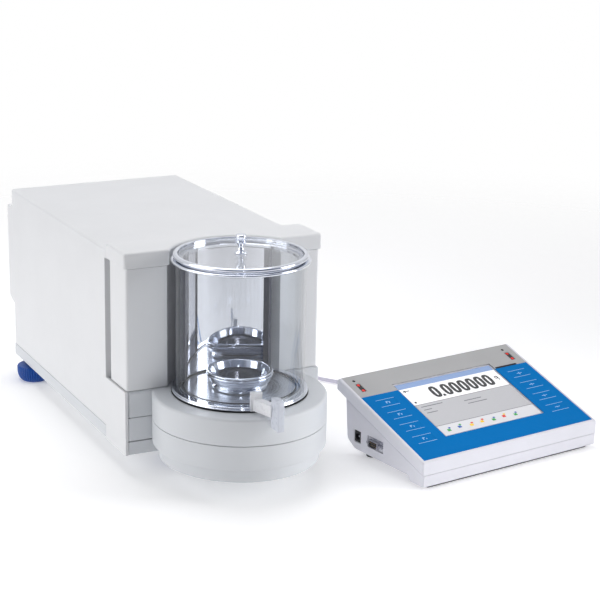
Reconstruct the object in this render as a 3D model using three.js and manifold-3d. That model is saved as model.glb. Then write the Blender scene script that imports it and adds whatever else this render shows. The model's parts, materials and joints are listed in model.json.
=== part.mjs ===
// Analytical micro-balance: a weighing unit with a round glass chamber, and its separate terminal.
// Millimetres, +Z up. While it is built, the chamber's axis is X = Y = 0, the rear is +Y and the
// bench is Z = 0. At the end the group is moved so that the middle of its box is at X = Y = 0.
import * as THREE from 'three';
import { mergeVertices } from 'three/addons/utils/BufferGeometryUtils.js';
import Module from 'manifold-3d';

const wasm = await Module();
wasm.setup();

// ---------------------------------------------------------------- driving dimensions
const GLASS_R = 50; // outer radius of the glass cylinder
const GLASS_WALL = 2.5;
const GAP = 0.4; // clearance and joint-line width between neighbouring pieces
const WALL = 2.8; // moulded housing wall

const FOOT_HEIGHT = 16.5; // underside of the housing above the bench
const TIER_1 = FOOT_HEIGHT + 11.5; // top of the bottom tray
const TIER_2 = FOOT_HEIGHT + 30.8; // top of the middle tier
const BASE_TOP = FOOT_HEIGHT + 52; // top of the round base
const CAP_TOP = FOOT_HEIGHT + 162.6; // top of the column cap
const CAP_LIP = 12.5; // height of the cap's edge
const COVER_TOP = CAP_TOP - 5.2;

const HALF_WIDTH = 84.3; // cap, base and left side panel
const FRONT_Y = 27.7; // front face of the column
const CAP_DEPTH = 38.7;
const REAR_Y = 310.5; // rear face of the long cover
const COVER_RIGHT = HALF_WIDTH - 6.1; // the cover is narrower on the right
const SLOT_FRONT_Y = 62.5; // recess between the column and the cover
const SLOT_REAR_Y = 70;
const BASE_R = GLASS_R + 17.9; // round front of the two upper tiers
const TRAY_R = BASE_R - 5;
const NICHE_R = GLASS_R + 6.6; // hollow in the column that the glass turns in

const RING_TOP = BASE_TOP + 4; // top of the turning bottom ring
const TOP_RING_Z = CAP_TOP - 6.6; // underside of the fixed top ring
const LID_Z = CAP_TOP - 3.8; // underside of the lid ring
const LINER_R = GLASS_R - 5; // outer radius of the steel liner
const LINER_HALF_ANGLE = 50; // degrees each side of straight back

const PANEL_WIDTH = 176; // terminal's sloping panel
const PANEL_LENGTH = 112;
const PANEL_TILT = 0.3245; // radians
const PANEL_FRONT_Z = 23.2;
const TERMINAL_YAW = 0.146;
const TERMINAL_AT = new THREE.Vector3(115.5, -86.5, 0);

// ---------------------------------------------------------------- materials
const finish = (color, roughness, metalness = 0, opacity = 1) =>
  new THREE.MeshStandardMaterial({ color, roughness, metalness, opacity, transparent: opacity < 1 });

const LOOK = {
  housing: finish(0xe6e7ea, 0.45),
  base: finish(0xd2d5da, 0.45),
  dark: finish(0x2a2c30, 0.6),
  steel: finish(0xc9ccd0, 0.15, 1),
  chrome: finish(0xdfe2e6, 0.08, 1),
  aluminium: finish(0xb4b7bb, 0.35, 1),
  iron: finish(0x5c5f63, 0.5, 1),
  brass: finish(0xb8924a, 0.3, 1),
  copper: finish(0xa8603a, 0.35, 1),
  glass: finish(0xe8f2f4, 0.02, 0, 0.25),
  rubber: finish(0x1b1c1e, 0.8),
  footBlue: finish(0x084a9c, 0.4),
  handle: finish(0xe9eaec, 0.4),
  circuit: finish(0x1f6b3a, 0.5),
  terminal: finish(0xdcdfe4, 0.4),
  overlay: finish(0x0071bc, 0.35),
  key: finish(0x0b7ac4, 0.3),
  screen: finish(0xc6c6ca, 0.15),
  sensor: finish(0x220508, 0.1),
  cable: finish(0xb9b6c8, 0.55),
};

// ---------------------------------------------------------------- solid helpers
function toSolid(geometry) {
  const bare = geometry.clone();
  bare.deleteAttribute('normal');
  bare.deleteAttribute('uv');
  const merged = mergeVertices(bare, 1e-4);
  return new wasm.Manifold(
    new wasm.Mesh({
      numProp: 3,
      vertProperties: new Float32Array(merged.attributes.position.array),
      triVerts: new Uint32Array(merged.index.array),
    }),
  );
}

function toGeometry(solid) {
  const mesh = solid.getMesh();
  const geometry = new THREE.BufferGeometry();
  geometry.setAttribute('position', new THREE.BufferAttribute(mesh.vertProperties, 3));
  geometry.setIndex(new THREE.BufferAttribute(mesh.triVerts, 1));
  geometry.computeVertexNormals();
  return geometry;
}

function cut(body, ...tools) {
  return toGeometry(tools.reduce((solid, tool) => solid.subtract(toSolid(tool)), toSolid(body)));
}

function join(body, ...others) {
  return toGeometry(others.reduce((solid, other) => solid.add(toSolid(other)), toSolid(body)));
}

// A box given by its low and high corners.
function block(x0, x1, y0, y1, z0, z1) {
  const box = new THREE.BoxGeometry(x1 - x0, y1 - y0, z1 - z0);
  return box.translate((x0 + x1) / 2, (y0 + y1) / 2, (z0 + z1) / 2);
}

// A closed plan outline pushed up from z0 to z1.
function prism(shape, z0, z1, curveSegments = 16) {
  const solid = new THREE.ExtrudeGeometry(shape, { depth: z1 - z0, bevelEnabled: false, curveSegments });
  return solid.translate(0, 0, z0);
}

// A profile of [radius, height] points turned about the Z axis through (x, y).
function turned(points, segments = 48, x = 0, y = 0) {
  const profile = points.map(([r, z]) => new THREE.Vector2(r, z));
  return new THREE.LatheGeometry(profile, segments).rotateX(Math.PI / 2).translate(x, y, 0);
}

function disc(radius, z0, z1, segments = 48, x = 0, y = 0) {
  return turned([[0, z0], [radius, z0], [radius, z1], [0, z1]], segments, x, y);
}

function ring(inner, outer, z0, z1, segments = 48, x = 0, y = 0) {
  return turned([[inner, z0], [outer, z0], [outer, z1], [inner, z1], [inner, z0]], segments, x, y);
}

// Part of a ring, between two angles in degrees from +X.
function sector(inner, outer, z0, z1, fromDeg, toDeg, curveSegments = 28) {
  const from = THREE.MathUtils.degToRad(fromDeg);
  const to = THREE.MathUtils.degToRad(toDeg);
  const shape = new THREE.Shape();
  shape.absarc(0, 0, outer, from, to, false);
  shape.absarc(0, 0, inner, to, from, true);
  shape.closePath();
  return prism(shape, z0, z1, curveSegments);
}

// A plan or side outline through straight corners.
function polygon(points) {
  return new THREE.Shape(points.map(([x, y]) => new THREE.Vector2(x, y)));
}

// A rod with flat ends lying along the Y axis.
function rodY(radius, y0, y1, x, z, segments = 24) {
  const rod = new THREE.CylinderGeometry(radius, radius, y1 - y0, segments);
  return rod.translate(x, (y0 + y1) / 2, z);
}

const balance = new THREE.Group();

function part(name, geometry, material, parent = balance) {
  const mesh = new THREE.Mesh(geometry, material.clone());
  mesh.name = name;
  parent.add(mesh);
}

// ---------------------------------------------------------------- base of the weighing unit
// Plan of the base: a rectangle with a round front bulging out of its straight front face.
function footprint(radius, left, right, front, rear, inset = 0) {
  const r = radius - inset;
  const yFront = front + inset;
  const meetAngle = Math.asin(yFront / r);
  const shape = new THREE.Shape();
  shape.moveTo(left + inset, rear - inset);
  shape.lineTo(left + inset, yFront);
  shape.absarc(0, 0, r, Math.PI - meetAngle, meetAngle, false);
  shape.lineTo(right - inset, yFront);
  shape.lineTo(right - inset, rear - inset);
  shape.closePath();
  return shape;
}

const PANEL_THICKNESS = 2.3; // left side panel in front of the tray and tiers
const TIER_LEFT = -HALF_WIDTH + PANEL_THICKNESS + GAP;
const TIER_REAR_Y = SLOT_REAR_Y - GAP;
const DOORWAY_HALF = 16; // opening that the weighing lever passes through
const CHAMBER_HOLE_R = GLASS_R + 0.6; // opening in the base top for the turning ring
const ARC_SEGMENTS = 28;

function baseTray() {
  const outline = (inset) => footprint(TRAY_R, -HALF_WIDTH, HALF_WIDTH, FRONT_Y, REAR_Y, inset);
  const sideNotch = block(-HALF_WIDTH - 1, TIER_LEFT, 0, SLOT_REAR_Y + 1 + GAP, 0, TIER_1 + 1);
  const outer = prism(outline(0), FOOT_HEIGHT, TIER_1 - GAP, ARC_SEGMENTS);
  const hollow = prism(outline(WALL * 2), FOOT_HEIGHT + WALL, TIER_1 + 1, ARC_SEGMENTS);
  return cut(outer, hollow, sideNotch);
}

function tierOutline(inset) {
  return footprint(BASE_R, TIER_LEFT, HALF_WIDTH, FRONT_Y, TIER_REAR_Y, inset);
}

// Open band between the tray and the top cover; the lever passes through its rear wall.
function baseMidTier() {
  const z0 = TIER_1 + GAP / 2;
  const z1 = TIER_2 - GAP / 2;
  const hollow = prism(tierOutline(WALL), z0 - 1, z1 + 1, ARC_SEGMENTS);
  const doorway = block(-DOORWAY_HALF, DOORWAY_HALF, TIER_REAR_Y - 10, TIER_REAR_Y + 1, z0 - 1, z1 - 3);
  return cut(prism(tierOutline(0), z0, z1, ARC_SEGMENTS), hollow, doorway);
}

function baseTopCover() {
  const z0 = TIER_2 + GAP / 2;
  const hollow = prism(tierOutline(WALL), z0 - 1, BASE_TOP - WALL, ARC_SEGMENTS);
  const chamberHole = disc(CHAMBER_HOLE_R, BASE_TOP - 2 * WALL, BASE_TOP + 1, 64);
  return cut(prism(tierOutline(0), z0, BASE_TOP, ARC_SEGMENTS), hollow, chamberHole);
}

part('base_tray', baseTray(), LOOK.base);
part('base_mid_tier', baseMidTier(), LOOK.base);
part('base_top_cover', baseTopCover(), LOOK.base);

// ---------------------------------------------------------------- levelling feet
const FOOT_R = 16;
const STUD_R = 4;
const FOOT_RIBS = 18;

// Ribbed thumbwheel with a rounded lower edge, and the stud that screws into the tray.
function levellingFoot() {
  const ribbed = new THREE.Shape();
  const steps = FOOT_RIBS * 2;
  for (let i = 0; i < steps; i += 1) {
    const angle = (i / steps) * 2 * Math.PI;
    const r = i % 2 ? FOOT_R : FOOT_R - 0.9;
    ribbed[i ? 'lineTo' : 'moveTo'](r * Math.cos(angle), r * Math.sin(angle));
  }
  ribbed.closePath();
  const wheel = prism(ribbed, 4, FOOT_HEIGHT - 2);
  const pad = turned([[0, 0], [FOOT_R - 4.5, 0], [FOOT_R - 1.5, 2], [FOOT_R - 1, 4.5], [0, 4.5]], 24);
  const stud = disc(STUD_R, 3, FOOT_HEIGHT - GAP, 12);
  return join(wheel, pad, stud);
}

const FEET = {
  foot_rear_left: [-75, 283],
  foot_rear_right: [72, 283],
  foot_front_left: [-27, 42],
  foot_front_right: [27, 42],
};
for (const [name, [x, y]] of Object.entries(FEET)) {
  part(name, levellingFoot().translate(x, y, 0), LOOK.footBlue);
}

// ---------------------------------------------------------------- column and covers
const COLUMN_LEFT = HALF_WIDTH - 1.8; // the column stands in under the cap's lip
const COLUMN_FRONT_Y = FRONT_Y + 1.3;
const NECK_HALF = 72; // narrow rear part of the column, behind the recess
const NECK_REAR_Y = 82;
const COLUMN_TOP = CAP_TOP - CAP_LIP - GAP;
const COLUMN_Z = BASE_TOP + GAP;

function frontColumn() {
  const plan = polygon([
    [-COLUMN_LEFT, COLUMN_FRONT_Y], [COLUMN_LEFT, COLUMN_FRONT_Y], [COLUMN_LEFT, SLOT_FRONT_Y],
    [NECK_HALF, SLOT_FRONT_Y], [NECK_HALF, NECK_REAR_Y], [-NECK_HALF, NECK_REAR_Y],
    [-NECK_HALF, SLOT_FRONT_Y], [-COLUMN_LEFT, SLOT_FRONT_Y],
  ]);
  const hollowTop = COLUMN_TOP - WALL;
  const rearHollow = block(
    WALL - NECK_HALF, NECK_HALF - WALL, NICHE_R + WALL, NECK_REAR_Y + 1, COLUMN_Z - 1, hollowTop);
  const cores = [-1, 1].map((side) => {
    const x = side * (NICHE_R + COLUMN_LEFT + 1) / 2;
    const half = (COLUMN_LEFT - NICHE_R - 1) / 2 - WALL;
    return block(x - half, x + half, COLUMN_FRONT_Y + WALL, SLOT_FRONT_Y - WALL, COLUMN_Z - 1, hollowTop);
  });
  const niche = disc(NICHE_R, COLUMN_Z - 1, COLUMN_TOP + 1, 56);
  return cut(prism(plan, COLUMN_Z, COLUMN_TOP), niche, rearHollow, ...cores);
}

function columnCap() {
  const lipZ = CAP_TOP - CAP_LIP;
  const rearY = FRONT_Y + CAP_DEPTH;
  const capNicheR = NICHE_R - 1.8;
  const body = block(-HALF_WIDTH, HALF_WIDTH, FRONT_Y, rearY, lipZ, CAP_TOP);
  const hollow = cut(
    block(WALL - HALF_WIDTH, HALF_WIDTH - WALL, FRONT_Y + WALL, rearY - WALL, lipZ - 1, CAP_TOP - WALL),
    disc(capNicheR + WALL, lipZ - 2, CAP_TOP + 1, 64),
  );
  return cut(body, disc(capNicheR, lipZ - 1, CAP_TOP + 1, 64), hollow);
}

// Long shell over the weighing cell. Its left side runs forward as a panel beside the base tiers, and its
// front edges turn in behind the recess.
function rearCover() {
  const z0 = TIER_1;
  const capRearY = FRONT_Y + CAP_DEPTH + GAP;
  const slotZ = CAP_TOP - CAP_LIP;
  const outer = block(-HALF_WIDTH, COVER_RIGHT, SLOT_REAR_Y, REAR_Y, z0, COVER_TOP);
  const crown = block(-HALF_WIDTH, COVER_RIGHT, capRearY, SLOT_REAR_Y + 1, slotZ, COVER_TOP);
  const inner = block(
    PANEL_THICKNESS - HALF_WIDTH, COVER_RIGHT - PANEL_THICKNESS,
    0, REAR_Y - PANEL_THICKNESS, z0 - 1, COVER_TOP - PANEL_THICKNESS,
  );
  const cheek = block(
    -HALF_WIDTH, PANEL_THICKNESS - HALF_WIDTH, FRONT_Y, SLOT_REAR_Y + 1, FOOT_HEIGHT, BASE_TOP - 0.2);
  const returnLip = (x0, x1) =>
    block(x0, x1, SLOT_REAR_Y, SLOT_REAR_Y + PANEL_THICKNESS, z0, slotZ + 1);
  const lips = [returnLip(-HALF_WIDTH, -NECK_HALF - GAP), returnLip(NECK_HALF + GAP, COVER_RIGHT)];
  return join(cut(join(outer, crown), inner), cheek, ...lips);
}

const BOX_DEPTH = 17; // connector box on the rear face
const BOX_Z0 = FOOT_HEIGHT + 50;
const BOX_Z1 = CAP_TOP - 22.5;

function rearBox() {
  const side = polygon([
    [REAR_Y + GAP, BOX_Z0 - 3], [REAR_Y + BOX_DEPTH, BOX_Z0 + 3], [REAR_Y + BOX_DEPTH, BOX_Z1],
    [REAR_Y + GAP, BOX_Z1],
  ]);
  const left = 1.2 - HALF_WIDTH;
  const right = COVER_RIGHT - 1.2;
  const shell = prism(side, 0, right - left).rotateX(Math.PI / 2).rotateZ(Math.PI / 2).translate(left, 0, 0);
  const hollow = block(
    left + WALL, right - WALL, REAR_Y, REAR_Y + BOX_DEPTH - WALL, BOX_Z0 + WALL, BOX_Z1 - WALL);
  return cut(shell, hollow);
}

part('front_column', frontColumn(), LOOK.housing);
part('column_cap', columnCap(), LOOK.housing);
part('rear_cover', rearCover(), LOOK.housing);
part('rear_box', rearBox(), LOOK.housing);

// Round sockets on the connector box: the power inlet, and the one that the terminal's cable plugs into.
const SOCKET_Z = BOX_Z0 + 22;
const BOX_REAR_Y = REAR_Y + BOX_DEPTH + GAP;

function roundSocket(radius, x, z, y0, length) {
  return cut(rodY(radius, y0, y0 + length, x, z), rodY(radius * 0.55, y0 + 1.5, y0 + length + 1, x, z));
}

part('rear_power_inlet', roundSocket(6, -48, SOCKET_Z, BOX_REAR_Y, 5), LOOK.dark);
part('rear_terminal_socket', roundSocket(7, 40, SOCKET_Z, BOX_REAR_Y, 5), LOOK.steel);

// ---------------------------------------------------------------- weighing chamber
const CAPTIVE_GAP = 0.5; // running clearance round the turning ring
const FLOOR_Z = RING_TOP - 2.2;
const RING_INNER_R = GLASS_R - 3.6;
const SKIRT_Z = TIER_2 + 3; // the ring's skirt reaches the drive roller
const GLASS_Z0 = RING_TOP + GAP;
const GLASS_Z1 = TOP_RING_Z - GAP;
const LINER_Z = FLOOR_Z + 3.2;

function bottomRing() {
  return turned([
    [RING_INNER_R, SKIRT_Z], [GLASS_R - CAPTIVE_GAP, SKIRT_Z], [GLASS_R - CAPTIVE_GAP, BASE_TOP + 1],
    [GLASS_R + 2, BASE_TOP + 1], [GLASS_R + 2.8, BASE_TOP + 1.8], [GLASS_R + 2.8, RING_TOP - 0.8],
    [GLASS_R + 2, RING_TOP], [RING_INNER_R, RING_TOP], [RING_INNER_R, SKIRT_Z],
  ]);
}

function topRing() {
  return turned([
    [LINER_R - 1.5, TOP_RING_Z], [GLASS_R + 2.6, TOP_RING_Z], [GLASS_R + 3.5, TOP_RING_Z + 0.8],
    [GLASS_R + 3.5, LID_Z - 1.2], [GLASS_R + 2.6, LID_Z - GAP], [LINER_R - 1.5, LID_Z - GAP],
    [LINER_R - 1.5, TOP_RING_Z],
  ]);
}

// Tube that holds the chamber floor, with a doorway at the rear for the weighing lever.
function pedestal() {
  const wall = ring(25.5, 28.5, FOOT_HEIGHT + WALL + GAP, FLOOR_Z - GAP, 32);
  const doorway = block(-DOORWAY_HALF, DOORWAY_HALF, 0, 60, FOOT_HEIGHT + WALL + 8, FLOOR_Z - 8);
  return cut(wall, doorway);
}

const liner = { from: 90 - LINER_HALF_ANGLE, to: 90 + LINER_HALF_ANGLE };
const FRONT_SPLIT = -96; // where the door meets the fixed glass, degrees

part('chamber_pedestal', pedestal(), LOOK.aluminium);
part('chamber_floor', ring(4, RING_INNER_R - CAPTIVE_GAP, FLOOR_Z, FLOOR_Z + 1.5), LOOK.steel);
part('floor_seal', ring(GLASS_R - 7, GLASS_R - 5.8, FLOOR_Z + 1.5 + 0.3, FLOOR_Z + 2.8), LOOK.rubber);
part('ring_gasket', ring(CHAMBER_HOLE_R, GLASS_R + 3.2, BASE_TOP + 0.3, BASE_TOP + 0.7), LOOK.rubber);
part('bottom_ring', bottomRing(), LOOK.chrome);
part('top_ring', topRing(), LOOK.chrome);
part('chamber_liner',
  sector(LINER_R - 1.2, LINER_R, LINER_Z, GLASS_Z1, liner.from, liner.to, 16), LOOK.steel);
function linerSeal(fromDeg, toDeg) {
  return sector(LINER_R - 2.4, LINER_R + 1.8, LINER_Z, GLASS_Z1, fromDeg, toDeg, 4);
}
part('liner_seal_right', linerSeal(liner.from - 7, liner.from - 0.6), LOOK.rubber);
part('liner_seal_left', linerSeal(liner.to + 0.6, liner.to + 10), LOOK.rubber);

const wallInner = GLASS_R - GLASS_WALL;
part('door_glass',
  sector(wallInner, GLASS_R, GLASS_Z0, GLASS_Z1, FRONT_SPLIT + 0.5, liner.from - 1, 24), LOOK.glass);
part('fixed_glass',
  sector(wallInner, GLASS_R, GLASS_Z0, GLASS_Z1, liner.to + 10, 360 + FRONT_SPLIT - 0.5, 20), LOOK.glass);

// Handle: a clamp over the door's lower edge, an arm reaching out, and a finger tab hanging down.
function doorHandle() {
  const armZ0 = RING_TOP - 1.6;
  const armZ1 = RING_TOP + 7.2;
  const armStart = [-10.6, -GLASS_R - 3.4];
  const armEnd = [-5.2, -BASE_R - 3];
  const arm = new THREE.Shape();
  const half = 3.6;
  const along = new THREE.Vector2(armEnd[0] - armStart[0], armEnd[1] - armStart[1]).normalize();
  const across = new THREE.Vector2(-along.y, along.x).multiplyScalar(half);
  arm.moveTo(armStart[0] + across.x, armStart[1] + across.y);
  arm.lineTo(armEnd[0] + across.x, armEnd[1] + across.y);
  arm.lineTo(armEnd[0] - across.x, armEnd[1] - across.y);
  arm.lineTo(armStart[0] - across.x, armStart[1] - across.y);
  arm.closePath();
  const tab = block(-6.8, -1.8, -BASE_R - 13.4, -BASE_R - 1.4, BASE_TOP - 6.6, armZ1 + 6);
  const clamp = sector(GLASS_R + 0.4, GLASS_R + 4.4, RING_TOP + 0.4, RING_TOP + 12, -106.5, -95, 6);
  const foot = sector(GLASS_R + 3.2, GLASS_R + 4.4, RING_TOP - 2.4, RING_TOP + 1, -106.5, -95, 6);
  return join(prism(arm, armZ0, armZ1), tab, clamp, foot);
}
part('door_handle', doorHandle(), LOOK.handle);

// Friction drive under the floor: the motor turns a rubber-tyred roller inside the ring's skirt.
const ROLLER_R = 8;
const ROLLER_AT = [0, -(RING_INNER_R - ROLLER_R - 0.3)];
part('door_drive_roller', ring(2.5, ROLLER_R, SKIRT_Z + 1, SKIRT_Z + 9, 40, ...ROLLER_AT), LOOK.rubber);
function doorMotor() {
  const can = disc(7, FOOT_HEIGHT + WALL + GAP, SKIRT_Z - 2, 32, ...ROLLER_AT);
  const shaft = disc(2.2, SKIRT_Z - 4, SKIRT_Z + 9.5, 16, ...ROLLER_AT);
  return join(can, shaft);
}
part('door_motor', doorMotor(), LOOK.iron);

// ---------------------------------------------------------------- lid
function lidRing() {
  const inner = GLASS_R - 2;
  const outer = GLASS_R + 1.8;
  return turned([
    [inner, LID_Z], [outer - 0.8, LID_Z], [outer, LID_Z + 0.8], [outer, CAP_TOP - 1.1],
    [outer - 0.8, CAP_TOP - 0.3], [inner, CAP_TOP - 0.3], [inner, LID_Z],
  ]);
}

const LID_GLASS_TOP = CAP_TOP - 1.3;
function lidKnob() {
  const z = LID_GLASS_TOP + 0.1;
  return turned([
    [0, z], [5.2, z], [5.2, z + 1.4], [3.4, z + 2.6], [2.3, z + 4], [2.1, z + 6.6],
    [3.9, z + 7.8], [4.2, z + 9], [4.2, z + 13.6], [3.6, z + 14.6], [0, z + 14.8],
  ], 20);
}
part('lid_ring', lidRing(), LOOK.chrome);
part('lid_glass', disc(GLASS_R - 2.3, LID_GLASS_TOP - 2, LID_GLASS_TOP), LOOK.glass);
part('lid_knob', lidKnob(), LOOK.chrome);

// ---------------------------------------------------------------- pan and its draft ring
const CUP_Z = FLOOR_Z + 1.5 + 0.3;
const CUP_H = 13.8;
const CUP_R = 26; // outer radius of the rim
const PAN_Z = CUP_Z + 7.8;

function draftRing() {
  const waist = CUP_R - 4.6;
  const inner = CUP_R - 6.8;
  return turned([
    [inner, CUP_Z], [waist, CUP_Z], [waist, CUP_Z + 2.6], [waist - 0.8, CUP_Z + 3.2],
    [waist - 0.8, CUP_Z + 4.2], [CUP_R - 2.2, CUP_Z + 5.6], [CUP_R - 1.6, CUP_Z + 9], [CUP_R, CUP_Z + 10.4],
    [CUP_R, CUP_Z + CUP_H], [CUP_R - 3.4, CUP_Z + CUP_H], [inner, CUP_Z + 4.6], [inner, CUP_Z],
  ], 36);
}

function weighingPan() {
  const r = 17;
  return turned([
    [0, PAN_Z], [r - 1, PAN_Z], [r, PAN_Z + 0.9], [r, PAN_Z + 2], [r - 0.7, PAN_Z + 2],
    [r - 0.9, PAN_Z + 1], [0, PAN_Z + 0.9],
  ], 32);
}

const BEAM_Z = FOOT_HEIGHT + WALL + 16;
const STEM_Z0 = BEAM_Z + 4 + GAP;
part('draft_ring', draftRing(), LOOK.steel);
part('weighing_pan', weighingPan(), LOOK.steel);
part('pan_stem', join(disc(1.6, STEM_Z0, PAN_Z - 0.3, 16), disc(5, STEM_Z0, STEM_Z0 + 3, 24)), LOOK.brass);

// ---------------------------------------------------------------- weighing cell in the rear housing
const CELL_Y0 = 100;
const PIVOT_Y = 128;
const CELL_FLOOR = FOOT_HEIGHT + WALL + GAP;

function cellFrame() {
  const plate = block(-44, 44, CELL_Y0, 236, CELL_FLOOR, CELL_FLOOR + 6);
  const cheeks = [-1, 1].map((side) =>
    block(side * 18 - 4, side * 18 + 4, PIVOT_Y - 14, PIVOT_Y + 14, CELL_FLOOR + 5, BEAM_Z + 14));
  return join(plate, ...cheeks);
}

// Two-armed lever: the front arm carries the pan, the rear arm carries the coil.
function cellBeam() {
  const frontArm = block(-5, 5, -7, PIVOT_Y, BEAM_Z - 3, BEAM_Z + 3);
  const rearArm = block(-7, 7, PIVOT_Y - 12, 214, BEAM_Z - 3.5, BEAM_Z + 4);
  const seat = disc(7, BEAM_Z - 3, BEAM_Z + 4, 24);
  const pivotRod = new THREE.CylinderGeometry(3, 3, 26, 20).rotateZ(Math.PI / 2);
  return join(frontArm, rearArm, seat, pivotRod.translate(0, PIVOT_Y, BEAM_Z));
}

const COIL_Y = 214;
part('cell_frame', cellFrame(), LOOK.aluminium);
part('cell_beam', cellBeam(), LOOK.aluminium);
part('force_coil', ring(11, 14.4, BEAM_Z + 4.6, BEAM_Z + 17, 40, 0, COIL_Y - 9), LOOK.copper);

// The magnet pot hangs over the coil: a yoke cup with a ring-shaped air gap, open below.
function magnetPot() {
  const y = COIL_Y - 9;
  const pot = disc(24, BEAM_Z + 8, BEAM_Z + 34, 40, 0, y);
  const airGap = ring(9.4, 16.4, BEAM_Z + 7, BEAM_Z + 22, 40, 0, y);
  const legs = [-1, 1].map((side) =>
    block(side * 27 - 6, side * 27 + 6, y - 8, y + 8, CELL_FLOOR + 6 + GAP, BEAM_Z + 30));
  return join(cut(pot, airGap), ...legs);
}
part('magnet_pot', magnetPot(), LOOK.iron);

// Built-in calibration mass: a bar that is lowered onto the lever's front arm.
const CAL_Y = 92;
part('calibration_mass', block(-13, 13, CAL_Y - 6, CAL_Y + 6, BEAM_Z + 6, BEAM_Z + 16), LOOK.brass);
function calibrationLifter() {
  const deck = block(-30, 30, CAL_Y - 5, CAL_Y + 5, BEAM_Z + 26, BEAM_Z + 42);
  const post = block(22, 30, CAL_Y - 5, CAL_Y + 5, CELL_FLOOR, BEAM_Z + 27);
  return join(deck, post);
}
part('calibration_lifter', calibrationLifter(), LOOK.iron);
part('main_board', block(-66, 60, 110, 296, 112, 113.6), LOOK.circuit);

// ---------------------------------------------------------------- terminal
// Built in its own frame: X across, Y to the back, the panel's front edge on Y = 0.
const terminal = new THREE.Group();
terminal.position.copy(TERMINAL_AT);
terminal.rotation.z = TERMINAL_YAW;
balance.add(terminal);

const EDGE = 3; // housing edge round the panel film
const SPLIT_DROP = 11; // joint between the two shells, below the sloping top
const TOP_SKIN = 3.4; // upper shell's thickness, measured straight down
const tiltCos = Math.cos(PANEL_TILT);
const tiltSin = Math.sin(PANEL_TILT);
const slopeZ = (y) => PANEL_FRONT_Z + (y * tiltSin) / tiltCos;
const BODY_FRONT = -2.6;
const BODY_REAR = PANEL_LENGTH * tiltCos + 2.4;
const BASE_REAR = BODY_REAR - 11.6; // the lower shell's back wall stands in under the upper shell

// Places on the panel, from its front left corner.
const SCREEN = { x0: 37, x1: 141, y0: 20, y1: 92 };
const KEY = { halfX: 8.6, halfY: 3.8, pitch: 16.4, firstY: 23.4, leftX: 18.3, rightX: PANEL_WIDTH - 17.6 };
const SENSOR_X = [8.2, PANEL_WIDTH - 8.4];
const SENSOR_Y = 96;
const SENSOR_HALF = 5.4; // half the length of a sensor window

const STRIP_TOP = 1.8; // underside of the lower shell over the front strip
const PAD_TOP = 6; // and over the two rear pads

// Sockets in the left side: centres from the front edge and above the bench.
const DC_Y = 80.4;
const DATA_Y = 57.5;
const PORT_Z = 17.4;
const DC_HALF = 4; // half width and half height of the power jack
const DC_RISE = 4.7;
const DATA_HALF = 9.6; // half width of the data port's flange

// A side outline of [y, z] points made as wide as the terminal, or narrower by an inset.
function terminalPrism(points, inset = 0) {
  const width = PANEL_WIDTH + 2 * (EDGE - inset);
  const side = prism(polygon(points), 0, width);
  return side.rotateX(Math.PI / 2).rotateZ(Math.PI / 2).translate(inset - EDGE, 0, 0);
}

// Moves geometry drawn on the flat panel (x across, y up the slope, z out of it) to its place.
function onPanel(geometry) {
  return geometry.rotateX(PANEL_TILT).translate(0, 0, PANEL_FRONT_Z);
}

function panelBlock(x0, x1, y0, y1, z0, z1) {
  return onPanel(block(x0, x1, y0, y1, z0, z1));
}

function terminalTop() {
  const drop = SPLIT_DROP - GAP;
  const outer = terminalPrism([
    [BODY_FRONT, slopeZ(BODY_FRONT) - drop], [BODY_FRONT, slopeZ(BODY_FRONT)],
    [BODY_REAR, slopeZ(BODY_REAR)], [BODY_REAR, slopeZ(BODY_REAR) - drop],
  ]);
  const insideFront = BODY_FRONT + WALL;
  const insideRear = BODY_REAR - WALL;
  const inside = terminalPrism([
    [insideFront, slopeZ(insideFront) - drop - 1], [insideFront, slopeZ(insideFront) - TOP_SKIN],
    [insideRear, slopeZ(insideRear) - TOP_SKIN], [insideRear, slopeZ(insideRear) - drop - 1],
  ], WALL);
  const filmRecess = panelBlock(-0.3, PANEL_WIDTH + 0.3, -0.3, PANEL_LENGTH + 0.3, -0.9, 5);
  const screenHole = panelBlock(SCREEN.x0 + 1, SCREEN.x1 - 1, SCREEN.y0 + 1, SCREEN.y1 - 1, -12, 2);
  const keyHoles = keyPlaces().map(([x, y]) =>
    panelBlock(x - KEY.halfX - 0.8, x + KEY.halfX + 0.8, y - KEY.halfY - 0.8, y + KEY.halfY + 0.8, -12, 2));
  const sensorHoles = SENSOR_X.map((x) =>
    panelBlock(x - 2.6, x + 2.6, SENSOR_Y - SENSOR_HALF - 0.4, SENSOR_Y + SENSOR_HALF + 0.4, -12, 2));
  return cut(outer, inside, filmRecess, screenHole, ...keyHoles, ...sensorHoles);
}

function keyPlaces() {
  const places = [];
  for (const x of [KEY.leftX, KEY.rightX]) {
    for (let row = 0; row < 4; row += 1) places.push([x, KEY.firstY + row * KEY.pitch]);
  }
  return places;
}

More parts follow.
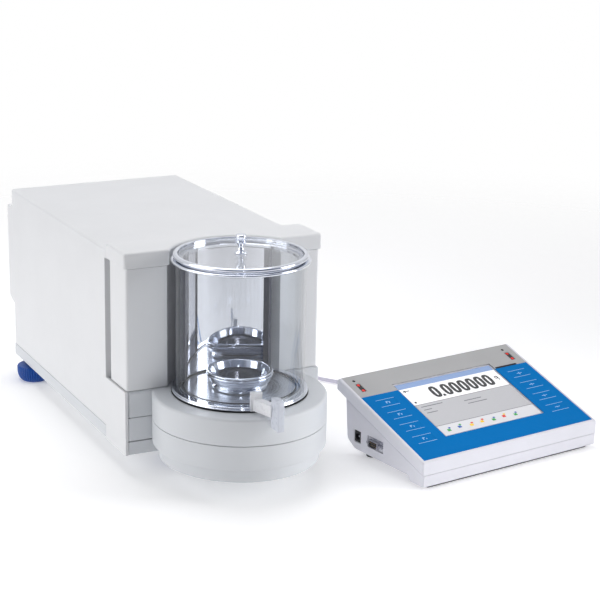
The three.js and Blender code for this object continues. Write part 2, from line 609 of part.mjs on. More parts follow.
function terminalBase() {
  const splitZ = (y) => slopeZ(y) - SPLIT_DROP;
  const insideFront = BODY_FRONT + WALL;
  const insideRear = BASE_REAR - WALL - 1;
  const outline = [
    [BODY_FRONT, STRIP_TOP], [14, STRIP_TOP], [17, PAD_TOP], [84, PAD_TOP], [90, PAD_TOP + 2.5],
    [BASE_REAR, splitZ(BASE_REAR) - 0.5], [BASE_REAR, splitZ(BASE_REAR)], [BODY_FRONT, splitZ(BODY_FRONT)],
  ];
  const inside = terminalPrism([
    [insideFront, PAD_TOP], [14, PAD_TOP], [17, PAD_TOP + 3], [83, PAD_TOP + 3], [87, PAD_TOP + 5],
    [insideRear, splitZ(insideRear) + 3], [insideFront, splitZ(insideFront) + 3],
  ], WALL + 1);
  const dcHole = block(
    -10, 5, DC_Y - DC_HALF - 0.5, DC_Y + DC_HALF + 0.5, PORT_Z - DC_RISE - 0.5, PORT_Z + DC_RISE + 0.5);
  const dataHole = block(
    -10, 5, DATA_Y - DATA_HALF - 0.6, DATA_Y + DATA_HALF + 0.6, PORT_Z - 4.4, PORT_Z + 5.6);
  return cut(terminalPrism(outline, 0.8), inside, dcHole, dataHole);
}

part('terminal_base', terminalBase(), LOOK.terminal, terminal);
part('terminal_top', terminalTop(), LOOK.terminal, terminal);

function panelFilm() {
  const film = panelBlock(0, PANEL_WIDTH, 0, PANEL_LENGTH, -0.5, 0);
  const screenWindow = panelBlock(SCREEN.x0, SCREEN.x1, SCREEN.y0, SCREEN.y1, -2, 2);
  const keyWindows = keyPlaces().map(([x, y]) =>
    panelBlock(x - KEY.halfX - 0.4, x + KEY.halfX + 0.4, y - KEY.halfY - 0.4, y + KEY.halfY + 0.4, -2, 2));
  const sensorWindows = SENSOR_X.map((x) =>
    panelBlock(x - 2.9, x + 2.9, SENSOR_Y - SENSOR_HALF - 0.7, SENSOR_Y + SENSOR_HALF + 0.7, -2, 2));
  return cut(film, screenWindow, ...keyWindows, ...sensorWindows);
}
part('terminal_film', panelFilm(), LOOK.overlay, terminal);

function displayModule() {
  const face = panelBlock(SCREEN.x0 + 1.4, SCREEN.x1 - 1.4, SCREEN.y0 + 1.4, SCREEN.y1 - 1.4, -5, -0.8);
  const body = panelBlock(SCREEN.x0 - 3, SCREEN.x1 + 3, SCREEN.y0 - 3, SCREEN.y1 + 3, -9, -4.4);
  return join(face, body);
}
part('terminal_display', displayModule(), LOOK.screen, terminal);

keyPlaces().forEach(([x, y], index) => {
  const side = index < 4 ? 'left' : 'right';
  const cap = panelBlock(x - KEY.halfX, x + KEY.halfX, y - KEY.halfY, y + KEY.halfY, -4.4, 0.1);
  part(`key_${side}_${(index % 4) + 1}`, cap, LOOK.key, terminal);
});

SENSOR_X.forEach((x, index) => {
  const window = panelBlock(x - 2.2, x + 2.2, SENSOR_Y - SENSOR_HALF, SENSOR_Y + SENSOR_HALF, -6, -0.2);
  part(index ? 'sensor_right' : 'sensor_left', window, LOOK.sensor, terminal);
});

// Sockets in the terminal's left side.
function dcJack() {
  const body = block(-1.9, 9, DC_Y - DC_HALF, DC_Y + DC_HALF, PORT_Z - DC_RISE, PORT_Z + DC_RISE);
  const bore = new THREE.CylinderGeometry(2.8, 2.8, 9, 20).rotateZ(Math.PI / 2);
  const pin = new THREE.CylinderGeometry(0.9, 0.9, 9, 12).rotateZ(Math.PI / 2);
  return join(cut(body, bore.translate(-1, DC_Y, PORT_Z)), pin.translate(3.3, DC_Y, PORT_Z));
}

function dataPort() {
  const flange = block(-1.8, 0.8, DATA_Y - DATA_HALF, DATA_Y + DATA_HALF, PORT_Z - 3.8, PORT_Z + 5);
  const shellOutline = polygon([
    [DATA_Y - 6.2, PORT_Z + 4], [DATA_Y + 6.2, PORT_Z + 4], [DATA_Y + 5.2, PORT_Z - 2.8],
    [DATA_Y - 5.2, PORT_Z - 2.8],
  ]);
  const shell = prism(shellOutline, 0, 13).rotateX(Math.PI / 2).rotateZ(Math.PI / 2).translate(-5, 0, 0);
  const posts = [-1, 1].map((side) => {
    const post = new THREE.CylinderGeometry(1.4, 1.4, 9, 6).rotateZ(Math.PI / 2);
    return post.translate(-0.6, DATA_Y + side * (DATA_HALF - 1.8), PORT_Z);
  });
  return join(flange, shell, ...posts);
}
part('terminal_power_jack', dcJack(), LOOK.dark, terminal);
part('terminal_data_port', dataPort(), LOOK.steel, terminal);

const PAD_R = 5;
[[10, 'left'], [PANEL_WIDTH - 10, 'right']].forEach(([x, side]) => {
  part(`terminal_foot_${side}`, disc(PAD_R, 0, PAD_TOP - GAP, 24, x, 76), LOOK.rubber, terminal);
});
part('terminal_front_strip', block(4, PANEL_WIDTH - 4, 0, 10, 0, STRIP_TOP - GAP), LOOK.rubber, terminal);

// ---------------------------------------------------------------- cable from the rear box to the terminal
const CABLE_R = 1.7;
const CABLE_LIFT = CABLE_R + 0.8; // leaves room for the bends to dip a little

function cable() {
  const start = new THREE.Vector3(40, BOX_REAR_Y + 6, SOCKET_Z);
  const end = new THREE.Vector3(60, BASE_REAR - 1.2, 30)
    .applyAxisAngle(new THREE.Vector3(0, 0, 1), TERMINAL_YAW).add(TERMINAL_AT);
  const route = new THREE.CatmullRomCurve3([
    start,
    new THREE.Vector3(42, start.y + 11, SOCKET_Z - 3),
    new THREE.Vector3(62, start.y + 18, SOCKET_Z - 45),
    new THREE.Vector3(88, start.y + 6, SOCKET_Z - 78),
    new THREE.Vector3(106, start.y - 24, CABLE_LIFT),
    new THREE.Vector3(126, 266, CABLE_LIFT),
    new THREE.Vector3(143, 215, CABLE_LIFT),
    new THREE.Vector3(163, 172, CABLE_LIFT),
    new THREE.Vector3(175, 154, CABLE_LIFT),
    new THREE.Vector3(190, 112, CABLE_LIFT),
    new THREE.Vector3(178, 62, 8),
    end,
  ]);
  const circle = new THREE.Shape().absarc(0, 0, CABLE_R, 0, 2 * Math.PI);
  return new THREE.ExtrudeGeometry(circle, { steps: 52, curveSegments: 4, extrudePath: route });
}
part('terminal_cable', cable(), LOOK.cable);

// ---------------------------------------------------------------- origin
balance.updateMatrixWorld(true);
const box = new THREE.Box3().setFromObject(balance, true);
const middle = box.getCenter(new THREE.Vector3());
balance.position.set(-middle.x, -middle.y, -box.min.z);

export default balance;
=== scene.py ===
"""Looks of an analytical micro-balance with a round glass chamber, and of its terminal.

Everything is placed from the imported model. The weighing unit is drawn in millimetres from the
chamber's axis at bench level, and the terminal in millimetres from its panel's front left corner.
"""
import json
import math

import bmesh
import bpy
from mathutils import Matrix, Vector


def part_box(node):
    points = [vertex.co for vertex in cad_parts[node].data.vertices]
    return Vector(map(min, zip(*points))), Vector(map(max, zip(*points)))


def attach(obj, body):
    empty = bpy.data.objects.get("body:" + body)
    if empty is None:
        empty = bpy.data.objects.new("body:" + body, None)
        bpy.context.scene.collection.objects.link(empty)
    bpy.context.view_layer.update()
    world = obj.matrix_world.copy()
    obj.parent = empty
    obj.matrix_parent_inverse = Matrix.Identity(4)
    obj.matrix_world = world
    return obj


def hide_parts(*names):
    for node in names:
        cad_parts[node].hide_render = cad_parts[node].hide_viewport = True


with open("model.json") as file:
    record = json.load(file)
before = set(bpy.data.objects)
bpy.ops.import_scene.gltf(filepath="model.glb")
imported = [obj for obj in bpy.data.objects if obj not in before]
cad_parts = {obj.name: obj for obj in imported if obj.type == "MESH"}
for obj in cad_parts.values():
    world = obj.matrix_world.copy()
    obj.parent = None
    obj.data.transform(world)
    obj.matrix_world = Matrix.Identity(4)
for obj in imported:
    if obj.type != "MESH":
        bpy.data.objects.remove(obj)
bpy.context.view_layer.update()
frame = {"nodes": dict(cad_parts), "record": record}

MM = 0.001
RECORD = frame["record"]
BODY_OF = {node: body for body, nodes in RECORD["behaviour"]["bodies"].items() for node in nodes}
SLOT_OF = {entry["node"]: entry["material_slot"] for entry in RECORD["subparts"]}


# ------------------------------------------------------------------ places read from the frame
def millimetres_from(origin, turn=0.0):
    """A frame in millimetres, with its own origin and turned about the upright axis."""
    return Matrix.Translation(origin) @ Matrix.Rotation(turn, 4, "Z") @ Matrix.Scale(MM, 4)


def points_in(matrix, node):
    inverse = matrix.inverted()
    return [inverse @ vertex.co for vertex in frame["nodes"][node].data.vertices]


def span(node, matrix=None):
    """Lowest and highest corner of a CAD node, in the millimetres of one of the two drawings."""
    points = points_in(matrix or UNIT, node)
    low = Vector([min(point[i] for point in points) for i in range(3)])
    high = Vector([max(point[i] for point in points) for i in range(3)])
    return low, high


def radii(node):
    """Smallest and largest distance of a CAD node's corners from the chamber's axis."""
    distances = [math.hypot(point.x, point.y) for point in points_in(UNIT, node)]
    return min(distances), max(distances)


def bearings(node):
    """First and last bearing of a curved CAD wall about the chamber's axis, from its middle."""
    points = points_in(UNIT, node)
    middle = math.atan2(sum(p.y for p in points), sum(p.x for p in points))
    turns = [math.remainder(math.atan2(p.y, p.x) - middle, 2 * math.pi) for p in points]
    return math.degrees(middle + min(turns)), math.degrees(middle + max(turns))


def terminal_frame():
    """The terminal's own frame, from the straight rubber strip under its front edge."""
    strip_inset = 4
    corners = [vertex.co for vertex in frame["nodes"]["terminal_front_strip"].data.vertices]
    left = min(corners, key=lambda corner: corner.y)
    right = max(corners, key=lambda corner: corner.x)
    across = Vector((right.x - left.x, right.y - left.y, 0)).normalized()
    origin = Vector((left.x, left.y, 0)) - across * strip_inset * MM
    return millimetres_from(origin, math.atan2(across.y, across.x))


lid_low, lid_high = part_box("lid_ring")
AXIS = Vector(((lid_low.x + lid_high.x) / 2, (lid_low.y + lid_high.y) / 2, 0))
UNIT = millimetres_from(AXIS)
TERMINAL = terminal_frame()

film_points = points_in(TERMINAL, "terminal_film")
PANEL_FRONT = min(film_points, key=lambda point: point.y)
PANEL_BACK = max(film_points, key=lambda point: point.z)
PANEL_TILT = math.atan2(PANEL_BACK.z - PANEL_FRONT.z, PANEL_BACK.y - PANEL_FRONT.y)
TO_PANEL = Matrix.Translation((0, 0, PANEL_FRONT.z)) @ Matrix.Rotation(PANEL_TILT, 4, "X")
PANEL = TERMINAL @ TO_PANEL

SOFT = 2.2  # rounding of the painted shells' edges
GAP = 0.4  # joint line between neighbouring shells
WALL = 2.8
MERGE_DISTANCE = 1e-4  # corners closer than this become one


# ------------------------------------------------------------------ materials
def srgb(red, green, blue):
    """A colour given as 0 to 255, in the linear values that a shader takes."""
    def linear(value):
        value /= 255
        return value / 12.92 if value <= 0.04045 else ((value + 0.055) / 1.055) ** 2.4
    return tuple(linear(value) for value in (red, green, blue))


def material(name, color, roughness, metallic=0.0, **inputs):
    made = bpy.data.materials.new(name)
    made.use_nodes = True
    made.diffuse_color = (*color, 1)
    shader = made.node_tree.nodes["Principled BSDF"]
    shader.inputs["Base Color"].default_value = (*color, 1)
    shader.inputs["Roughness"].default_value = roughness
    shader.inputs["Metallic"].default_value = metallic
    for key, value in inputs.items():
        shader.inputs[key.replace("_", " ")].default_value = value
    return made


def math_node(tree, operation, first, second=None):
    node = tree.nodes.new("ShaderNodeMath")
    node.operation = operation
    for index, value in enumerate((first, second)):
        if value is None:
            continue
        if isinstance(value, (int, float)):
            node.inputs[index].default_value = value
        else:
            tree.links.new(value, node.inputs[index])
    return node.outputs[0]


def object_millimetres(tree):
    coordinates = tree.nodes.new("ShaderNodeTexCoord")
    mapping = tree.nodes.new("ShaderNodeMapping")
    mapping.vector_type = "TEXTURE"
    mapping.inputs["Location"].default_value = AXIS
    mapping.inputs["Scale"].default_value = (MM, MM, MM)
    tree.links.new(coordinates.outputs["Object"], mapping.inputs["Vector"])
    return mapping.outputs["Vector"]


def flat_pattern(tree, stretch=(1, 1, 1)):
    """Coordinates in millimetres, squeezed along each axis by the stretch."""
    scaled = tree.nodes.new("ShaderNodeVectorMath")
    scaled.operation = "MULTIPLY"
    scaled.inputs[1].default_value = stretch
    tree.links.new(object_millimetres(tree), scaled.inputs[0])
    return scaled.outputs[0]


def turned_pattern(tree, radial, angular, upright):
    """Coordinates that follow a turned piece: distance from the axis, bearing and height."""
    split = tree.nodes.new("ShaderNodeSeparateXYZ")
    tree.links.new(object_millimetres(tree), split.inputs[0])
    x, y, z = split.outputs
    squares = math_node(tree, "ADD", math_node(tree, "MULTIPLY", x, x), math_node(tree, "MULTIPLY", y, y))
    joined = tree.nodes.new("ShaderNodeCombineXYZ")
    parts = (
        math_node(tree, "MULTIPLY", math_node(tree, "SQRT", squares), radial),
        math_node(tree, "MULTIPLY", math_node(tree, "ARCTAN2", y, x), angular),
        math_node(tree, "MULTIPLY", z, upright),
    )
    for part, socket in zip(parts, joined.inputs):
        tree.links.new(part, socket)
    return joined.outputs[0]


def noise(tree, vector, scale, low, high, octaves=3):
    """Noise spread between a low and a high value."""
    texture = tree.nodes.new("ShaderNodeTexNoise")
    texture.inputs["Scale"].default_value = scale
    texture.inputs["Detail"].default_value = octaves
    tree.links.new(vector, texture.inputs["Vector"])
    spread = tree.nodes.new("ShaderNodeMapRange")
    spread.inputs["From Min"].default_value = 0.32
    spread.inputs["From Max"].default_value = 0.68
    spread.inputs["To Min"].default_value = low
    spread.inputs["To Max"].default_value = high
    tree.links.new(texture.outputs["Fac"], spread.inputs["Value"])
    return spread.outputs["Result"]


def vary_tone(made, vector, scale, amount):
    tree = made.node_tree
    shader = tree.nodes["Principled BSDF"]
    tone = tree.nodes.new("ShaderNodeVectorMath")
    tone.operation = "SCALE"
    tone.inputs[0].default_value = shader.inputs["Base Color"].default_value[:3]
    tree.links.new(noise(tree, vector, scale, 1 - amount, 1 + amount), tone.inputs["Scale"])
    tree.links.new(tone.outputs[0], shader.inputs["Base Color"])


def vary_gloss(made, vector, scale, amount):
    tree = made.node_tree
    shader = tree.nodes["Principled BSDF"]
    rough = shader.inputs["Roughness"].default_value
    spread = noise(tree, vector, scale, max(rough - amount, 0), rough + amount)
    tree.links.new(spread, shader.inputs["Roughness"])


def relief(made, vector, scale, depth, octaves=3):
    """A fine surface texture, its depth in millimetres."""
    tree = made.node_tree
    bump = tree.nodes.new("ShaderNodeBump")
    bump.inputs["Strength"].default_value = 1
    bump.inputs["Distance"].default_value = depth * MM
    tree.links.new(noise(tree, vector, scale, 0, 1, octaves), bump.inputs["Height"])
    for node in tree.nodes:
        if node.type in {"BSDF_PRINCIPLED", "BSDF_GLOSSY"}:
            tree.links.new(bump.outputs[0], node.inputs["Normal"])


def painted(name, color, roughness=0.42, depth=0.004):
    """Satin powder paint: a faint orange peel, slow changes of tone and of gloss."""
    made = material(name, color, roughness, Coat_Weight=0.12, Coat_Roughness=0.3)
    vary_tone(made, flat_pattern(made.node_tree), 0.02, 0.012)
    vary_gloss(made, flat_pattern(made.node_tree), 0.06, 0.05)
    relief(made, flat_pattern(made.node_tree), 0.8, depth)
    return made


def moulded(name, color, roughness=0.45, depth=0.008, grain=2.2, shine=0.5):
    """Moulded plastic with a fine spark-eroded texture."""
    made = material(name, color, roughness, Specular_IOR_Level=shine)
    vary_tone(made, flat_pattern(made.node_tree), 0.05, 0.015)
    vary_gloss(made, flat_pattern(made.node_tree), 0.3, 0.06)
    relief(made, flat_pattern(made.node_tree), grain, depth, 2)
    return made


def turned_metal(name, color, roughness, depth=0.0015, pitch=3.0):
    """Metal finished in a lathe: very fine rings round the chamber's axis."""
    made = material(name, color, roughness, 1.0)
    vary_tone(made, flat_pattern(made.node_tree), 0.08, 0.02)
    vary_gloss(made, turned_pattern(made.node_tree, pitch, 0, pitch), 1, roughness * 0.5)
    relief(made, turned_pattern(made.node_tree, pitch, 0, pitch), 1, depth, 1)
    return made


def rolled_metal(name, color, roughness, depth=0.004):
    """Polished sheet bent to a cylinder: faint upright rolling marks."""
    made = material(name, color, roughness, 1.0)
    vary_tone(made, turned_pattern(made.node_tree, 0, 26, 0.01), 1, 0.03)
    vary_gloss(made, turned_pattern(made.node_tree, 0, 60, 0.02), 1, roughness * 0.6)
    relief(made, turned_pattern(made.node_tree, 0, 9, 0.004), 1, depth, 2)
    return made


def machined(name, color, roughness, metallic=1.0):
    made = material(name, color, roughness, metallic)
    vary_tone(made, flat_pattern(made.node_tree), 0.1, 0.05)
    vary_gloss(made, flat_pattern(made.node_tree, (1, 0.05, 1)), 2, roughness * 0.4)
    relief(made, flat_pattern(made.node_tree, (1, 0.05, 1)), 3, 0.004)
    return made


def clear_glass(name, tint, haze=0.0):
    """Thin clear glass: light passes straight through, and the surface mirrors more at a slant."""
    made = bpy.data.materials.new(name)
    made.use_nodes = True
    made.diffuse_color = (*tint, 0.25)
    tree = made.node_tree
    tree.nodes.remove(tree.nodes["Principled BSDF"])
    through = tree.nodes.new("ShaderNodeBsdfTransparent")
    mirror = tree.nodes.new("ShaderNodeBsdfGlossy")
    mirror.inputs["Roughness"].default_value = 0.015
    slant = tree.nodes.new("ShaderNodeFresnel")
    leaving = tree.nodes.new("ShaderNodeNewGeometry").outputs["Backfacing"]
    both_ways = math_node(tree, "SUBTRACT", 1.5, math_node(tree, "MULTIPLY", leaving, 1.5 - 1 / 1.5))
    tree.links.new(both_ways, slant.inputs["IOR"])
    shade = tree.nodes.new("ShaderNodeVectorMath")
    shade.operation = "SCALE"
    shade.inputs[0].default_value = tint
    tree.links.new(noise(tree, flat_pattern(tree), 0.03, 0.985 - haze, 1.0), shade.inputs["Scale"])
    tree.links.new(shade.outputs[0], through.inputs["Color"])
    mix = tree.nodes.new("ShaderNodeMixShader")
    tree.links.new(slant.outputs[0], mix.inputs[0])
    tree.links.new(through.outputs[0], mix.inputs[1])
    tree.links.new(mirror.outputs[0], mix.inputs[2])
    tree.links.new(mix.outputs[0], tree.nodes["Material Output"].inputs["Surface"])
    relief(made, flat_pattern(tree), 0.05, 0.01)
    return made


def frosted(name, color, clearness):
    """Milky plastic that lets some light straight through."""
    made = moulded(name, color, 0.3, 0.0015)
    tree = made.node_tree
    through = tree.nodes.new("ShaderNodeBsdfTransparent")
    mix = tree.nodes.new("ShaderNodeMixShader")
    mix.inputs[0].default_value = clearness
    tree.links.new(tree.nodes["Principled BSDF"].outputs[0], mix.inputs[1])
    tree.links.new(through.outputs[0], mix.inputs[2])
    tree.links.new(mix.outputs[0], tree.nodes["Material Output"].inputs["Surface"])
    return made


def lit(name, color, strength):
    """A lit area of the display."""
    made = material(name, color, 0.25, Coat_Weight=0.6, Coat_Roughness=0.05)
    shader = made.node_tree.nodes["Principled BSDF"]
    shader.inputs["Emission Color"].default_value = (*color, 1)
    shader.inputs["Emission Strength"].default_value = strength
    vary_tone(made, flat_pattern(made.node_tree), 0.5, 0.01)
    return made


HOUSING = painted("housing_paint", srgb(228, 229, 231))
# The base's paint is the housing paint made a little darker: painted shade for the greyer look of the base's
# tiers.
BASE_PAINT_SHADED = painted("base_paint", srgb(214, 217, 221))
DARK = moulded("dark_plastic", srgb(24, 24, 28), 0.5)
STEEL = turned_metal("steel", srgb(186, 194, 206), 0.22, 0.002)
POLISHED = turned_metal("polished_steel", srgb(214, 218, 227), 0.12)
LINER = rolled_metal("liner_steel", srgb(216, 217, 222), 0.045)
CHROME = turned_metal("chrome", srgb(228, 231, 238), 0.09, 0.0006)
# The pan's dark navy colour is a painted reflection: its steel is darkened to show the dark room it mirrors.
PAN_PAINTED_REFLECTION = turned_metal("pan_steel_painted_reflection", srgb(40, 44, 64), 0.2)
FLOOR_PLATE = turned_metal("floor_plate", srgb(196, 200, 208), 0.34, 0.002)
SHELL = machined("nickel_shell", srgb(190, 190, 198), 0.28)
ALUMINIUM = machined("aluminium", srgb(196, 198, 202), 0.35)
IRON = machined("iron", srgb(92, 94, 98), 0.5)
BRASS = machined("brass", srgb(190, 150, 80), 0.28)
COPPER = machined("copper", srgb(176, 100, 62), 0.35)
GLASS = clear_glass("chamber_glass", (0.975, 0.985, 0.995))
LID_GLASS = clear_glass("lid_glass_clear", (0.975, 0.98, 0.99))
RUBBER = moulded("rubber", srgb(16, 17, 24), 0.55, 0.02, 1.2)
SEAL = moulded("seal_rubber", srgb(34, 38, 58), 0.35, 0.01, 1.0)
FOOT_BLUE = moulded("foot_plastic", srgb(0, 74, 160), 0.34, 0.006)
HANDLE = moulded("handle_plastic", srgb(232, 233, 237), 0.3, 0.0015, 6)
FROSTED = frosted("handle_tab", srgb(222, 226, 236), 0.3)
CIRCUIT = moulded("circuit_board", srgb(32, 110, 62), 0.4)
SHELL_PLASTIC = moulded("terminal_plastic", srgb(218, 218, 226), 0.42)
FILM_BLUE = moulded("film_blue", srgb(0, 112, 184), 0.5, 0.003, 3.0, 0.04)
FILM_GREY = moulded("film_grey", srgb(172, 172, 173), 0.38, 0.003, 3.0, 0.14)
FILM_LINE = moulded("film_line", srgb(150, 196, 234), 0.36, 0.002)
FILM_BLACK = moulded("film_black", srgb(14, 13, 13), 0.36, 0.002, 2.2, 0.14)
SENSOR_RED = moulded("sensor_red", srgb(226, 28, 14), 0.2, 0.001)
SENSOR_DARK = moulded("sensor_window", srgb(20, 10, 12), 0.15, 0.001)
JACKET = moulded("cable_jacket", srgb(202, 198, 214), 0.5, 0.01, 1.5)

SCREEN_GREY = lit("screen_grey", srgb(190, 190, 194), 0.04)
SCREEN_WHITE = lit("screen_white", srgb(250, 250, 252), 0.14)
SCREEN_BAR = lit("screen_bar", srgb(134, 162, 208), 0.04)
SCREEN_STRIP = lit("screen_strip", srgb(222, 222, 226), 0.04)
SCREEN_INK = lit("screen_ink", srgb(20, 20, 24), 0.0)
SCREEN_LINE = lit("screen_line", srgb(120, 120, 126), 0.0)
ICON_COLORS = {
    "blue": srgb(48, 90, 170), "yellow": srgb(236, 196, 30),
    "green": srgb(60, 160, 80), "red": srgb(214, 50, 40),
}
ICONS = {name: lit(f"icon_{name}", color, 0.1) for name, color in ICON_COLORS.items()}

SLOT_LOOK = {
    "housing_paint": HOUSING, "base_paint": BASE_PAINT_SHADED, "dark_plastic": DARK, "steel": STEEL,
    "polished_steel": POLISHED, "chrome": CHROME, "aluminium": ALUMINIUM, "iron": IRON,
    "brass": BRASS, "copper": COPPER, "chamber_glass": GLASS, "rubber": RUBBER,
    "foot_plastic": FOOT_BLUE, "handle_plastic": HANDLE, "circuit_board": CIRCUIT,
    "terminal_plastic": SHELL_PLASTIC, "panel_film": FILM_BLUE, "key_plastic": FILM_BLUE,
    "screen": SCREEN_GREY, "sensor_window": SENSOR_DARK, "cable_jacket": JACKET,
}


# ------------------------------------------------------------------ outlines
def arc(radius, from_deg, to_deg, steps, center=(0, 0)):
    """Points on an arc, both ends included."""
    points = []
    for step in range(steps + 1):
        angle = math.radians(from_deg + (to_deg - from_deg) * step / steps)
        points.append((center[0] + radius * math.cos(angle), center[1] + radius * math.sin(angle)))
    return points


def circle(radius, steps=128, center=(0, 0)):
    return arc(radius, 0, 360, steps, center)[:-1]


def rectangle(x0, x1, y0, y1):
    return [(x0, y0), (x1, y0), (x1, y1), (x0, y1)]


def filleted(corners, steps=5):
    """An outline whose corners, given as (x, y, radius), are rounded."""
    outline = []
    for index, (x, y, radius) in enumerate(corners):
        if not radius:
            outline.append((x, y))
            continue
        here = Vector((x, y))
        before = (Vector(corners[index - 1][:2]) - here).normalized()
        after = (Vector(corners[(index + 1) % len(corners)][:2]) - here).normalized()
        half = before.angle(after) / 2
        center = here + (before + after).normalized() * radius / math.sin(half)
        start = here + before * radius / math.tan(half) - center
        end = here + after * radius / math.tan(half) - center
        turn = math.remainder(math.atan2(end.y, end.x) - math.atan2(start.y, start.x), 2 * math.pi)
        for step in range(steps + 1):
            angle = math.atan2(start.y, start.x) + turn * step / steps
            outline.append((center.x + radius * math.cos(angle), center.y + radius * math.sin(angle)))
    return outline


def inset(outline, distance):
    """The same outline, moved inwards. Outlines run anticlockwise."""
    moved = []
    for index, point in enumerate(outline):
        here = Vector(point)
        into = (here - Vector(outline[index - 1])).normalized()
        out = (Vector(outline[(index + 1) % len(outline)]) - here).normalized()
        first = Vector((-into.y, into.x))
        second = Vector((-out.y, out.x))
        moved.append(tuple(here + (first + second) / (1 + first.dot(second)) * distance))
    return moved


def footprint(radius, left, right, front, rear, corner=SOFT):
    """Plan of the base: a rectangle with a round front bulging out of its straight front face."""
    meet = math.degrees(math.asin(front / radius))
    bulge = arc(radius, 180 - meet, 360 + meet, 120)
    corners = [(right, front, corner), (right, rear, corner), (left, rear, corner), (left, front, corner)]
    return bulge + filleted(corners)


# ------------------------------------------------------------------ meshes
def skin(loops, closed=False):
    """A mesh over loops of points. Loops of one point close to a tip."""
    mesh = bmesh.new()
    rows = [[mesh.verts.new(point) for point in loop] for loop in loops]
    pairs = list(zip(rows, rows[1:]))
    if closed:
        pairs.append((rows[-1], rows[0]))
    count = max(len(row) for row in rows)
    for lower, upper in pairs:
        for i in range(count):
            j = (i + 1) % count
            corners = [row[k % len(row)] for row, k in ((lower, i), (lower, j), (upper, j), (upper, i))]
            corners = list(dict.fromkeys(corners))
            if len(corners) > 2:
                mesh.faces.new(corners)
    if not closed:
        for row, flip in ((rows[0], True), (rows[-1], False)):
            if len(row) > 2:
                mesh.faces.new(reversed(row) if flip else row)
    bmesh.ops.remove_doubles(mesh, verts=mesh.verts[:], dist=MERGE_DISTANCE)
    bmesh.ops.dissolve_degenerate(mesh, edges=mesh.edges[:], dist=MERGE_DISTANCE)
    bmesh.ops.recalc_face_normals(mesh, faces=mesh.faces[:])
    if mesh.calc_volume(signed=True) < 0:
        bmesh.ops.reverse_faces(mesh, faces=mesh.faces[:])
    return mesh


def prism(outline, z0, z1, bottom=0.0, top=0.0, steps=4):
    """An outline pushed up from z0 to z1, its lower and upper edges rounded."""
    loops = []
    if bottom:
        for step in range(steps + 1):
            angle = math.pi / 2 * step / steps
            loops.append((bottom * (1 - math.sin(angle)), z0 + bottom * (1 - math.cos(angle))))
    else:
        loops.append((0, z0))
    if top:
        for step in range(steps + 1):
            angle = math.pi / 2 * step / steps
            loops.append((top * (1 - math.cos(angle)), z1 - top * (1 - math.sin(angle))))
    else:
        loops.append((0, z1))
    return skin([[(x, y, z) for x, y in inset(outline, distance)] for distance, z in loops])


def block(x0, x1, y0, y1, z0, z1):
    return prism(rectangle(x0, x1, y0, y1), z0, z1)


def lathe(profile, segments=160, closed=True):
    """A profile of (radius, height) points turned about the chamber's axis."""
    loops = []
    for radius, z in profile:
        if radius < 1e-6:
            loops.append([(0, 0, z)])
        else:
            loops.append([(x, y, z) for x, y in circle(radius, segments)])
    return skin(loops, closed)


def sector(inner, outer, z0, z1, from_deg, to_deg, steps=72, edge=0.0):
    """An upright curved wall between two bearings."""
    outline = arc(outer, from_deg, to_deg, steps) + arc(inner, to_deg, from_deg, steps)
    return prism(outline, z0, z1, edge, edge, 2)


def moved(mesh, matrix):
    mesh.transform(matrix)
    return mesh


def merged(*meshes):
    """Several solids in one mesh; each takes the material of its place in the list."""
    target = bmesh.new()
    for index, mesh in enumerate(meshes):
        part = bpy.data.meshes.new("part")
        mesh.to_mesh(part)
        mesh.free()
        before = len(target.faces)
        target.from_mesh(part)
        target.faces.ensure_lookup_table()
        for face in target.faces[before:]:
            face.material_index = index
        bpy.data.meshes.remove(part)
    return target


def looks_of(mesh, choose):
    """Renumbers the materials of a merged mesh: choose gives the new number of each old one."""
    for face in mesh.faces:
        face.material_index = choose(face.material_index)
    return mesh


def as_object(name, mesh):
    data = bpy.data.meshes.new(name)
    mesh.to_mesh(data)
    mesh.free()
    made = bpy.data.objects.new(name, data)
    bpy.context.scene.collection.objects.link(made)
    return made


def combined(mesh, others, operation):
    """A solid with others cut from it or joined to it."""
    body = as_object("body", mesh)
    tools = [as_object("tool", other) for other in others]
    for tool in tools:
        step = body.modifiers.new("step", "BOOLEAN")
        step.operation = operation
        step.solver = "EXACT"
        step.object = tool
    result = bmesh.new()
    result.from_object(body, bpy.context.evaluated_depsgraph_get())
    for used in [body, *tools]:
        data = used.data
        bpy.data.objects.remove(used)
        bpy.data.meshes.remove(data)
    bmesh.ops.remove_doubles(result, verts=result.verts[:], dist=MERGE_DISTANCE)
    return result


def cut(mesh, *others):
    return combined(mesh, others, "DIFFERENCE")


def union(mesh, *others):
    return combined(mesh, others, "UNION")


def piece(name, mesh, looks, node, matrix=None, replaces=True, sharp=38, bevel=0.0):
    """Turns a mesh drawn in millimetres into a piece that moves with a CAD node and stands for it."""
    mesh.transform(matrix or UNIT)
    for face in mesh.faces:
        face.smooth = True
    made = as_object(name, mesh)
    if bevel:
        rounding = made.modifiers.new("rounded edges", "BEVEL")
        rounding.width = bevel * MM
        rounding.segments = 3
        rounding.limit_method = "ANGLE"
        rounding.angle_limit = math.radians(sharp)
    else:
        made.data.set_sharp_from_angle(angle=math.radians(sharp))
    even = made.modifiers.new("even shading", "WEIGHTED_NORMAL")
    even.keep_sharp = True
    for look in looks:
        made.data.materials.append(look)
    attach(made, BODY_OF[node])
    if replaces:
        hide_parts(node)
    return made


# ------------------------------------------------------------------ base of the weighing unit
COVER_LOW, COVER_HIGH = span("rear_cover")
CAP_LOW, CAP_HIGH = span("column_cap")
BASE_LOW, BASE_HIGH = span("base_top_cover")
TRAY_LOW, TRAY_HIGH = span("base_tray")
PANEL_THICKNESS = 2.3
SLOT_FRONT_Y = 62.5
SLOT_REAR_Y = 70
NECK_HALF = 72


